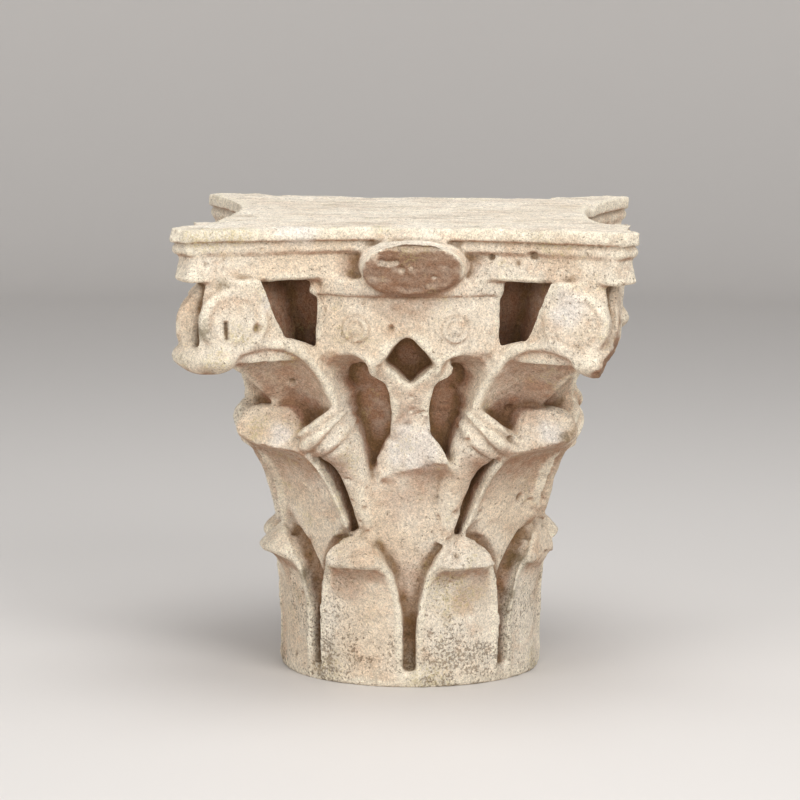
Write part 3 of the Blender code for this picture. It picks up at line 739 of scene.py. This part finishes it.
def losses():
    """Chips, pits and worn-off edges, as shells to cut away."""
    shells = []
    # The pit between the two volutes of the front left corner
    aside = 0.10 * VOLUTE_RADIUS
    centre = (VOLUTE_REACH + 0.50 * VOLUTE_RADIUS, aside, VOLUTE_LEVEL - 0.40 * VOLUTE_RADIUS)
    radii = (0.45 * VOLUTE_RADIUS, 0.27 * VOLUTE_RADIUS, 0.42 * VOLUTE_RADIUS)
    shells.append(ball(centre, radii, HOLLOW_CORNER))
    # Long scallops along the upper edges of the slab: (side, place along it, length, depth, drop)
    for side, place, length, depth, drop in (
        (0, -0.098, 0.034, 0.005, 0.007), (0, 0.085, 0.05, 0.004, 0.004),
        (0, 0.012, 0.05, 0.004, 0.004), (90, -0.11, 0.04, 0.005, 0.006),
        (90, 0.07, 0.055, 0.0045, 0.005), (180, -0.095, 0.045, 0.005, 0.006),
        (180, 0.115, 0.03, 0.006, 0.006), (180, 0.03, 0.045, 0.0035, 0.0035),
        (270, 0.12, 0.03, 0.004, 0.005),
    ):
        half = ABACUS_WIDTH / 2
        reach = half - ABACUS_BOW * (1 - (place / (half - CORNER_CUT)) ** 2)
        centre = (reach + 0.5 * depth, place, TOTAL_HEIGHT + 0.35 * drop)
        shells.append(ball(centre, (1.5 * depth, length, 1.35 * drop), side))
    # Knocks at the corners: (corner, reach, aside, height, size)
    for azimuth, reach, aside, height, size in (
        (45, 1.012, 0.01, 0.404, 0.01), (45, 1.0, -0.013, 0.372, 0.008),
        (315, 1.012, -0.009, 0.409, 0.01), (315, 1.004, 0.012, 0.368, 0.007),
        (135, 1.005, 0.004, 0.404, 0.014), (225, 1.01, -0.006, 0.4, 0.013),
        (225, 0.985, 0.006, 0.33, 0.01), (135, 0.975, -0.01, 0.3, 0.011),
    ):
        centre = (reach * CORNER_REACH + 0.35 * size, aside, height)
        shells.append(ball(centre, (size, 1.2 * size, 0.8 * size), azimuth))
    return shells


def tree_of(mesh):
    copy = bmesh.new()
    copy.from_mesh(mesh)
    tree = BVHTree.FromBMesh(copy)
    copy.free()
    return tree


def seen(mesh, rows):
    """The rows that start with a (column, row) of the 800 by 800 picture, with the stone's point
    there in its place. Rows that miss the stone are left out."""
    eye = bpy.context.scene.camera
    tangent = eye.data.sensor_width / eye.data.lens / 2
    matrix = eye.matrix_world
    tree = tree_of(mesh)
    for column, row, *rest in rows:
        aside = (column - PICTURE_HALF) / PICTURE_HALF * tangent
        rise = (PICTURE_HALF - row) / PICTURE_HALF * tangent
        ray = matrix.to_3x3() @ Vector((aside, rise, -1)).normalized()
        spot = tree.ray_cast(matrix.translation, ray)[0]
        if spot is not None:
            yield np.array(spot), *rest


def between(table, low, part):
    """A table's values between its cells: a low corner for each, and how far on from it."""
    total = np.zeros(len(low))
    for corner_cell in np.ndindex(2, 2, 2):
        x, y, z = np.where(corner_cell, part, 1 - part).T
        i, j, k = ((low + corner_cell) % table.shape).T
        total += x * y * z * table[i, j, k]
    return total


def lattice(points, size, seed):
    """Smooth noise from -1 to 1 with features of about one size."""
    table = np.random.default_rng(seed).uniform(-1, 1, (32, 32, 32))
    place = points / size + 1000.0
    low = np.floor(place).astype(int)
    part = place - low
    return between(table, low, part * part * (3 - 2 * part))


def layered(points, size, layers, seed):
    """Noise of several sizes, each half as large and half as strong as the last."""
    total = np.zeros(len(points))
    for layer in range(layers):
        total += lattice(points, size / 2**layer, seed + layer) / 2**layer
    return total


def read(mesh):
    """(points, normals, edges) of a mesh as arrays."""
    points = np.empty(3 * len(mesh.vertices))
    mesh.vertices.foreach_get("co", points)
    normals = np.empty(3 * len(mesh.vertices))
    mesh.vertex_normals.foreach_get("vector", normals)
    edges = np.empty(2 * len(mesh.edges), int)
    mesh.edges.foreach_get("vertices", edges)
    return points.reshape(-1, 3), normals.reshape(-1, 3), edges.reshape(-1, 2)


def write(mesh, points):
    mesh.vertices.foreach_set("co", points.ravel())
    mesh.update()


def relaxed(values, edges, rounds):
    """Values smoothed over the mesh by moving each towards its neighbours' mean."""
    count = len(values)
    degree = np.bincount(edges.ravel(), minlength=count)[:, None]
    values = values.reshape(count, -1)
    for _ in range(rounds):
        total = np.zeros_like(values)
        for axis in range(values.shape[1]):
            total[:, axis] = np.bincount(edges[:, 0], values[edges[:, 1], axis], count)
            total[:, axis] += np.bincount(edges[:, 1], values[edges[:, 0], axis], count)
        values = 0.5 * values + 0.5 * total / degree
    return values


def polar(points):
    """(azimuth in degrees, radius) of points."""
    azimuth = np.degrees(np.arctan2(points[:, 0], -points[:, 1]))
    return azimuth, np.hypot(points[:, 0], points[:, 1])


def off_axis(points, centre, axis):
    """(depth along, distance from) an axis through a centre, for points."""
    axis = np.array(axis)
    away = points - np.array(centre)
    depth = away @ axis
    return depth, np.linalg.norm(away - depth[:, None] * axis, axis=1)


def broken_share(points, normals, thickness, highest=1.0):
    """How much each point lies on one of the broken faces, from 0 to 1. Faces that look up more
    than the highest are left out."""
    share = np.zeros(len(points))
    for point, outward in broken_faces:
        if outward[2] > highest:
            continue
        away = points - point
        depth = np.abs(away @ outward) / thickness
        reach = np.linalg.norm(away, axis=1) / BREAK_REACH
        facing = step(0.10, 0.55, normals @ outward)
        share = np.maximum(share, np.exp(-(depth**4)) * step(1.0, 0.8, reach) * facing)
    return share


def creases(points):
    """How much each point lies in the crease along a lower leaf's edge, from 0 to 1."""
    azimuth, radius = polar(points)
    height = points[:, 2]
    profile = np.array(LOWER_LEAF)
    width = np.interp(height / LOWER_LEAF_HEIGHT, profile[:, 0], profile[:, 3])
    aside = np.abs((azimuth - LEAF_SWING) % LEAF_PITCH - LEAF_PITCH / 2)
    past = np.radians(aside - LOWER_LEAF_SPREAD * width) * radius
    level = step(0.060, 0.085, height) * step(0.150, 0.130, height)
    # Shallower and narrower under the middle leaves
    face_share = step(26, 12, np.abs((azimuth - LEAF_SWING + 45) % 90 - 45))
    reach = 0.0150 - 0.0050 * face_share
    near = step(-0.0010, 0.0010, past) * step(reach, 0.5 * reach, past)
    found = near * level * step(1.16 * FOOT_RADIUS, 1.10 * FOOT_RADIUS, radius)
    return found * (1 - 0.75 * face_share)


def lines(points, normals):
    """How much each point lies in the groove round the abacus, under the bands' lips or between
    the collars' rolls."""
    azimuth, radius = polar(points)
    upright = step(0.80, 0.50, np.abs(normals[:, 2]))
    groove = hump(points[:, 2], TOTAL_HEIGHT - SLAB_HEIGHT - 0.0012, 0.0015)
    groove *= step(0.86 * LIP_RADIUS, 0.90 * LIP_RADIUS, radius)
    aside = np.abs((azimuth + 45) % 90 - 45)
    lip = hump(points[:, 2], ABACUS_BOTTOM - LIP_HEIGHT - 0.0010, 0.0016)
    lip = lip * step(28, 26, aside) * step(1.06 * LIP_RADIUS, LIP_RADIUS, radius)
    found = np.maximum(groove, 0.6 * lip) * upright
    for centre, forward in collar_lines:
        depth, away = off_axis(points, centre, forward)
        line = hump(depth, 0, 0.0016) * step(1.15 * COLLAR_RADIUS, COLLAR_RADIUS, away)
        found = np.maximum(found, 0.55 * line)
    return found


def carved_rings(points):
    """How much each point lies in the shallow rings on the helices and corner volutes."""
    found = np.zeros(len(points))

    def carve(centre, outward, reach, rings, strength=1.0):
        depth, away = off_axis(points, centre, outward)
        ring = sum(share * hump(away, radius, width) for radius, width, share in rings)
        return strength * step(reach, 0.005, np.abs(depth)) * ring

    for side in (-1, 1):
        for azimuth in FACES:
            turn = azimuth + side * HELIX_SPREAD
            centre = around(HELIX_FACE + HELIX_RELIEF, turn, HELIX_LEVEL)
            found += carve(centre, around(1, turn, 0), 0.008, HELIX_RINGS)
        for azimuth in CORNERS:
            centre = beside(VOLUTE_REACH, side * 0.0315, VOLUTE_LEVEL, azimuth)
            outward = beside(0.560, side * 0.828, 0, azimuth)
            found += carve(centre, outward, 0.009, VOLUTE_RINGS, VOLUTE_RING_STRENGTH)
    return found


def pitted(points, count, seed):
    """The depth of many small round pits."""
    random = np.random.default_rng(seed)
    finder = KDTree(len(points))
    for index, point in enumerate(points):
        finder.insert(point, index)
    finder.balance()
    sunk = np.zeros(len(points))
    for index in random.integers(0, len(points), count):
        radius = SMALLEST_PIT + PIT_SPREAD * random.random() ** 3
        depth = radius * random.uniform(0.5, 1.0)
        for _, found, away in finder.find_range(points[index], radius):
            sunk[found] = max(sunk[found], depth * (1 - (away / radius) ** 2))
    return sunk


def weathered(stone):
    """The stone worn at its edges, chipped, roughened where it broke, pitted and eroded."""
    mesh = stone.data
    points, normals, edges = read(mesh)
    light = relaxed(points, edges, 2)
    heavy = relaxed(light, edges, 16)
    sharp = np.einsum("ij,ij->i", light - heavy, normals)
    brow = step(TOTAL_HEIGHT - 0.012, TOTAL_HEIGHT - 0.002, points[:, 2])
    patches = step(-0.25, 0.55, layered(points, 0.050, 3, 12))
    wear = 0.30 * layered(points, 0.030, 3, 11) + 0.75 * brow * patches
    points = light + (heavy - light) * np.clip(wear, 0, 1)[:, None]
    chips = step(0.0006, 0.0022, sharp) * step(0.10, 0.75, layered(points, 0.013, 3, 15))
    points = points - normals * (CHIP_DEPTH * chips)[:, None]
    write(mesh, points)
    points, normals, edges = read(mesh)
    rough = broken_share(points, normals, 0.006)
    ledge = rough * step(0.160, 0.140, points[:, 2])
    points[:, 2] += (0.0020 * rough + 0.0040 * ledge) * layered(points, 0.020, 3, 43)
    sunk = 0.0007 * layered(points, 0.040, 2, 21) + 0.0007 * layered(points, 0.011, 3, 31)
    sunk += rough * (BREAK_DEPTH * layered(points, 0.010, 3, 41) + 0.0005)
    sunk += RING_DEPTH * carved_rings(points) + CREASE_DEPTH * creases(points)
    sunk += LINE_DEPTH * lines(points, normals)
    sunk += pitted(points, PITS, 51)
    top = step(TOTAL_HEIGHT - 0.02, TOTAL_HEIGHT - 0.01, points[:, 2])
    top = step(0.7, 0.95, normals[:, 2]) * top
    streaks = layered(points * (0.15, 1.0, 1.0), 0.007, 2, 61)
    sunk += top * (2 * STREAK_DEPTH + STREAK_DEPTH * streaks)
    for spot, size, depth in seen(mesh, SUNK_MARKS):
        away = np.linalg.norm(points - spot, axis=1)
        sunk += depth * step(size, 0.3 * size, away)
    foot = step(0.006, 0.002, points[:, 2]) * step(-0.5, -0.9, normals[:, 2])
    sunk = sunk * (1 - foot)
    points = points - normals * sunk[:, None]
    points[:, 2] = np.clip(points[:, 2], 0, TOTAL_HEIGHT)
    write(mesh, points)
    return stone


def reduced(stone):
    count = sum(len(polygon.vertices) - 2 for polygon in stone.data.polygons)
    if count > TRIANGLES:
        fewer = stone.modifiers.new("fewer", "DECIMATE")
        fewer.ratio = TRIANGLES / count
        applied(stone)
    return stone


def occupied(mesh):
    """The grid of the cells that the stone fills."""
    tree = tree_of(mesh)
    low = np.array(CELLS_LOW)
    grid = np.zeros(np.ceil(CELLS_SPAN / np.array(CELL)).astype(int), np.float32)
    up = Vector((0, 0, 1))
    for i, j in np.ndindex(grid.shape[:2]):
        start = Vector((low[0] + (i + 0.5) * CELL, low[1] + (j + 0.5) * CELL, low[2]))
        heights = []
        while (hit := tree.ray_cast(start, up)[0]) is not None:
            heights.append(hit.z)
            start = hit + up * 1e-5
        for enter, leave in zip(heights[::2], heights[1::2]):
            first = int(round((enter - low[2]) / CELL))
            last = int(round((leave - low[2]) / CELL))
            grid[i, j, first:last] = 1
    return grid


def blurred(grid, cells):
    """The grid averaged over boxes about twice as wide as some number of cells, three times."""
    for _ in range(3):
        for axis in range(3):
            summed = np.cumsum(grid, axis=axis, dtype=np.float64)
            grid = np.roll(summed, -cells, axis) - np.roll(summed, cells + 1, axis)
            grid = grid / (2 * cells + 1)
    return grid


def looked_up(grid, points):
    """The grid's value at each point, between its cells."""
    place = (points - np.array(CELLS_LOW)) / CELL - 0.5
    place = np.clip(place, 0, np.array(grid.shape) - 1.001)
    start = place.astype(int)
    return between(grid, start, place - start)


def marked(stone):
    """Stores on the mesh how sheltered, sharp and broken the stone is at each point, where it is
    stained, and where pink shade is painted.
    """
    mesh = stone.data
    points, normals, edges = read(mesh)
    grid = occupied(mesh)
    wide = looked_up(blurred(grid, 5), points + normals * CELL)
    close = looked_up(blurred(grid, 1), points)
    fresh = broken_share(points, normals, 0.008)
    crease = np.maximum(creases(points), lines(points, normals))
    marks = {
        "hollow": np.clip((wide - 0.42) * 3.4, 0, 1),
        "groove": np.clip((close - 0.56) * 5.0, 0, 1),
        "rim": np.clip((0.44 - close) * 6.0, 0, 1) * ((1 - fresh) * (1 - crease)),
        "snapped": broken_share(points, normals, 0.010, -0.2),
        "crease": crease,
        "ring": carved_rings(points),
    }
    ragged = layered(points, 0.012, 3, 71)
    for name, rows in PATCHES.items():
        marks[name] = np.zeros(len(points))
        for spot, size in seen(mesh, rows):
            away = np.linalg.norm(points - spot, axis=1) + 0.45 * size * ragged
            marks[name] = np.maximum(marks[name], step(size, 0.5 * size, away))
    for name, values in marks.items():
        values = relaxed(values, edges, 2).ravel()
        mesh.attributes.new(name, "FLOAT", "POINT").data.foreach_set("value", values)
    return stone


def colour(shade):
    """A linear colour from a display one of 0 to 255."""
    return tuple(
        value / 12.92 if value <= 0.04045 else ((value + 0.055) / 1.055) ** 2.4
        for value in (channel / 255 for channel in shade)
    ) + (1.0,)


class Nodes:
    """A short way to write a material's nodes."""

    def __init__(self, name):
        self.material = bpy.data.materials.new(name)
        self.material.use_nodes = True
        self.tree = self.material.node_tree
        self.shader = self.tree.nodes["Principled BSDF"]
        self.place = self.new("TexCoord").outputs["Object"]
        self.ground = colour(CREAM)

    def new(self, kind, **inputs):
        """A node of a kind, with values or sockets for its named inputs."""
        node = self.tree.nodes.new("ShaderNode" + kind)
        for name, value in inputs.items():
            self.link(value, node.inputs[name.replace("_", " ")])
        return node

    def link(self, value, socket):
        if isinstance(value, bpy.types.NodeSocket):
            self.tree.links.new(value, socket)
        else:
            socket.default_value = value

    def math(self, operation, *values):
        node = self.new("Math")
        node.operation = operation
        for value, socket in zip(values, node.inputs):
            self.link(value, socket)
        return node.outputs[0]

    def times(self, first, second):
        return self.math("MULTIPLY", first, second)

    def scaled(self, value, factor, base):
        """The value times a factor, plus a base."""
        return self.math("MULTIPLY_ADD", value, factor, base)

    def more(self, first, second):
        return self.math("MAXIMUM", first, second)

    def upward(self, vector):
        """A vector's Z."""
        return self.new("SeparateXYZ", Vector=vector).outputs["Z"]

    def noise(self, scale, detail=3.0, roughness=0.55, stretch=(1, 1, 1), offset=(0, 0, 0)):
        place = self.new("Mapping", Vector=self.place, Scale=stretch, Location=offset).outputs[0]
        found = self.new("TexNoise", Vector=place, Scale=scale, Detail=detail, Roughness=roughness)
        return found.outputs["Fac"]

    def cells(self, scale):
        return self.new("TexVoronoi", Vector=self.place, Scale=scale).outputs["Distance"]

    def mark(self, name):
        """What the mesh stores under a name."""
        node = self.new("Attribute")
        node.attribute_name = name
        return node.outputs["Fac"]

    def ramp(self, value, low, high):
        """A smooth step from 0 at low to 1 at high."""
        node = self.new("MapRange", Value=value, From_Min=low, From_Max=high)
        node.interpolation_type = "SMOOTHSTEP"
        return node.outputs["Result"]

    def paint(self, share, shade, blend="MIX"):
        """Lays a share of a shade over the ground colour."""
        node = self.new("Mix")
        node.data_type = "RGBA"
        node.blend_type = blend
        self.link(share, node.inputs["Factor"])
        self.link(self.ground, node.inputs["A"])
        self.link(colour(shade) if isinstance(shade, tuple) else shade, node.inputs["B"])
        self.ground = node.outputs["Result"]


def limestone():
    n = Nodes("weathered limestone")
    up = n.upward(n.new("NewGeometry").outputs["Normal"])
    height = n.upward(n.place)
    clouds = n.noise(9, 5, 0.6)
    stains = n.noise(27, 6, 0.7, offset=(3, 1, 7))
    mottle = n.noise(90, 5, 0.7, offset=(8, 2, 5))
    grit = n.noise(330, 4, 0.8, offset=(2, 6, 4))
    sand = n.noise(760, 2, 0.6, offset=(7, 3, 1))
    hollow = n.mark("hollow")
    uneven = n.ramp(mottle, 0.30, 0.70)

    # Cream with paler and warmer clouds
    n.paint(n.ramp(clouds, 0.38, 0.62), PALE_CREAM)
    n.paint(n.times(n.ramp(stains, 0.47, 0.66), 0.60), WARM_CLOUD)
    # Streaks along the top bed
    bed = n.times(n.ramp(up, 0.75, 0.95), n.ramp(height, 0.385, 0.40))
    streaks = n.ramp(n.noise(75, 5, 0.75, stretch=(0.12, 1, 1)), 0.48, 0.64)
    n.paint(n.times(bed, 0.55), PALE_BED)
    n.paint(n.times(n.times(bed, streaks), 0.55), BED_STREAK)
    # Pinkish brown where the stone is sheltered or faces down: partly patina, partly painted shade
    shelter_and_shade = n.more(n.ramp(hollow, 0.05, 0.56), n.times(n.ramp(up, -0.12, -0.75), 0.85))
    shelter_and_shade = n.times(shelter_and_shade, n.scaled(uneven, 0.45, 0.62))
    n.paint(n.math("MINIMUM", shelter_and_shade, 0.96), SHELTER_PATINA_AND_SHADE)
    # Painted shade, a darker brown deep in the hollows
    n.paint(n.times(n.ramp(hollow, 0.50, 0.95), 0.60), DEEP_PAINTED_SHADE)
    # The snapped faces that look down: the broken stone's own colour, with painted shade that is
    # darkest where they face down most
    snapped = n.scaled(n.ramp(up, 0.20, -0.40), 0.55, 0.30)
    snapped = n.times(n.times(snapped, n.scaled(uneven, 0.25, 0.85)), n.mark("snapped"))
    n.paint(n.math("MINIMUM", snapped, 0.95), SNAPPED_AND_SHADE)
    # Earth and painted shade in the grooves and creases, and faint lines in the carved rings
    grooved_earth_and_shade = n.more(n.ramp(n.mark("groove"), 0.06, 0.60), n.times(n.mark("crease"), 0.70))
    n.paint(n.times(grooved_earth_and_shade, n.scaled(uneven, 0.35, 0.60)), EARTH_AND_SHADE)
    n.paint(n.times(n.mark("ring"), n.scaled(uneven, 0.25, 0.20)), RING_LINE)
    # Pale worn rims, partly a painted highlight along the sharp edges
    pale = n.times(n.ramp(n.mark("rim"), 0.05, 0.55), n.scaled(uneven, 0.5, 0.45))
    n.paint(n.math("MINIMUM", pale, 0.85), WORN_RIM_AND_HIGHLIGHT)
    # Painted pink shade, bare stone, lichen and moss in patches
    n.paint(n.times(n.mark("pink_shade"), n.scaled(uneven, 0.25, 0.25)), PINK_PAINTED_SHADE)
    n.paint(n.times(n.mark("bare"), 0.75), BARE_STONE)
    crusts = n.ramp(n.noise(24, 5, 0.7, offset=(9, 4, 2)), 0.55, 0.70)
    crusts = n.times(n.more(crusts, n.mark("lichen")), n.ramp(grit, 0.46, 0.58))
    n.paint(n.times(crusts, 0.60), LICHEN)
    moss = n.times(n.mark("moss"), n.ramp(mottle, 0.36, 0.56))
    n.paint(n.times(moss, 0.75), MOSS)
    # Dark specks, thickest low on the bell
    density = n.ramp(n.noise(19, 4, 0.65, offset=(1, 8, 3)), 0.36, 0.62)
    density = n.times(n.scaled(n.ramp(height, 0.125, 0.02), 0.60, 0.34), density)
    speck = n.noise(430, 3, 0.6, offset=(5, 5, 1))
    specks = n.ramp(n.math("SUBTRACT", speck, n.scaled(density, -0.20, 0.66)), 0.0, 0.07)
    n.paint(n.times(specks, 0.60), SPECK)
    # Fine grain
    tone = n.scaled(n.ramp(grit, 0.30, 0.70), 0.40, 0.80)
    tone = n.times(tone, n.scaled(n.ramp(sand, 0.32, 0.68), 0.36, 0.82))
    tone = n.times(tone, n.scaled(uneven, 0.16, 0.93))
    toned = n.new("CombineColor", Red=tone, Green=tone, Blue=tone)
    n.paint(1.0, toned.outputs[0], "MULTIPLY")
    n.link(n.ground, n.shader.inputs["Base Color"])
    n.link(n.scaled(uneven, 0.14, 0.82), n.shader.inputs["Roughness"])
    n.shader.inputs["Specular IOR Level"].default_value = 0.25

    pores = n.times(n.ramp(n.cells(230), 0.30, 0.06), n.ramp(stains, 0.40, 0.60))
    rise = n.scaled(sand, 0.35, n.scaled(grit, 1.3, n.times(mottle, 1.3)))
    rise = n.math("SUBTRACT", rise, n.times(pores, 0.35))
    rise = n.math("SUBTRACT", rise, n.times(specks, 0.30))
    bump = n.new("Bump", Height=rise, Strength=0.9, Distance=0.0024)
    n.link(bump.outputs[0], n.shader.inputs["Normal"])
    return n.material


def studio():
    """A pale round floor that curves up into a backdrop on all sides, and soft lights."""
    mesh = bmesh.new()
    bend_start = FLOOR_REACH - FLOOR_BEND
    section = [(0.3, 0.0)]
    for turn in np.linspace(0, math.pi / 2, 17):
        radius = bend_start + FLOOR_BEND * math.sin(turn)
        section.append((radius, FLOOR_BEND - FLOOR_BEND * math.cos(turn)))
    section.append((FLOOR_REACH, FLOOR_WALL))
    rings = [
        [mesh.verts.new(around(radius, angle, level)) for angle in range(0, 360, 4)]
        for radius, level in section
    ]
    mesh.faces.new(rings[0])
    for low, high in zip(rings, rings[1:]):
        for index in range(len(low)):
            after = (index + 1) % len(low)
            mesh.faces.new((low[index], low[after], high[after], high[index]))
    bmesh.ops.recalc_face_normals(mesh, faces=mesh.faces[:])
    data = bpy.data.meshes.new("floor")
    mesh.to_mesh(data)
    mesh.free()
    data.shade_smooth()
    plain = bpy.data.materials.new("pale floor")
    plain.use_nodes = True
    shader = plain.node_tree.nodes["Principled BSDF"]
    shader.inputs["Base Color"].default_value = FLOOR_COLOUR
    shader.inputs["Roughness"].default_value = 0.6
    data.materials.append(plain)
    floor = shown("floor", data)
    for name, place, power, size in LAMPS:
        lamp = bpy.data.lights.new(name, "AREA")
        lamp.energy = power
        lamp.size = size
        lit = shown(name, lamp)
        lit.location = place
        lit.visible_camera = False
        towards = Vector(LAMP_AIM) - Vector(place)
        lit.rotation_euler = towards.to_track_quat("-Z", "Y").to_euler()
    world = bpy.data.worlds.new("studio air")
    world.use_nodes = True
    background = world.node_tree.nodes["Background"]
    background.inputs["Color"].default_value = SKY_COLOUR
    background.inputs["Strength"].default_value = SKY_STRENGTH
    bpy.context.scene.world = world
    bpy.context.scene.view_settings.view_transform = "Standard"


def camera():
    """The photograph's viewpoint: nearly level with the abacus, a little to one side."""
    yaw, pitch = math.radians(CAMERA_YAW), math.radians(CAMERA_PITCH)
    roll = math.radians(CAMERA_ROLL)
    right = Vector((math.cos(yaw), math.sin(yaw), 0))
    back = Vector((math.sin(yaw), -math.cos(yaw), 0))
    forward = -back * math.cos(pitch) - Vector((0, 0, math.sin(pitch)))
    upward = -back * math.sin(pitch) + Vector((0, 0, math.cos(pitch)))
    x_axis = right * math.cos(roll) + upward * math.sin(roll)
    y_axis = upward * math.cos(roll) - right * math.sin(roll)
    place = back * CAMERA_BACK - right * CAMERA_LEFT + Vector((0, 0, CAMERA_HEIGHT))
    lens = bpy.data.cameras.new("camera")
    lens.sensor_width = CAMERA_SENSOR
    lens.lens = CAMERA_LENS
    eye = shown("camera", lens)
    axes = Matrix((x_axis, y_axis, -forward)).transposed().to_4x4()
    eye.matrix_world = Matrix.Translation(place) @ axes
    bpy.context.scene.camera = eye


camera()
studio()

parts = [bell(), abacus(), *lower_leaves()]
for azimuth in FACES:
    parts += face(azimuth)
for azimuth in CORNERS:
    parts.append(
        upper_leaf(azimuth, 0, CORNER_LEAF_HEIGHT, CORNER_LEAF_SPREAD, CORNER_LEAF, CORNER_BREAKS)
    )
    parts += corner(azimuth)
capital = remeshed(object_of("carved_capital", parts))
cut_away(capital, losses())
remeshed(capital)
weathered(capital)
reduced(capital)
marked(capital)
capital.data.materials.clear()
capital.data.materials.append(limestone())
capital.data.shade_smooth()

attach(capital, "root")
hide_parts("capital")
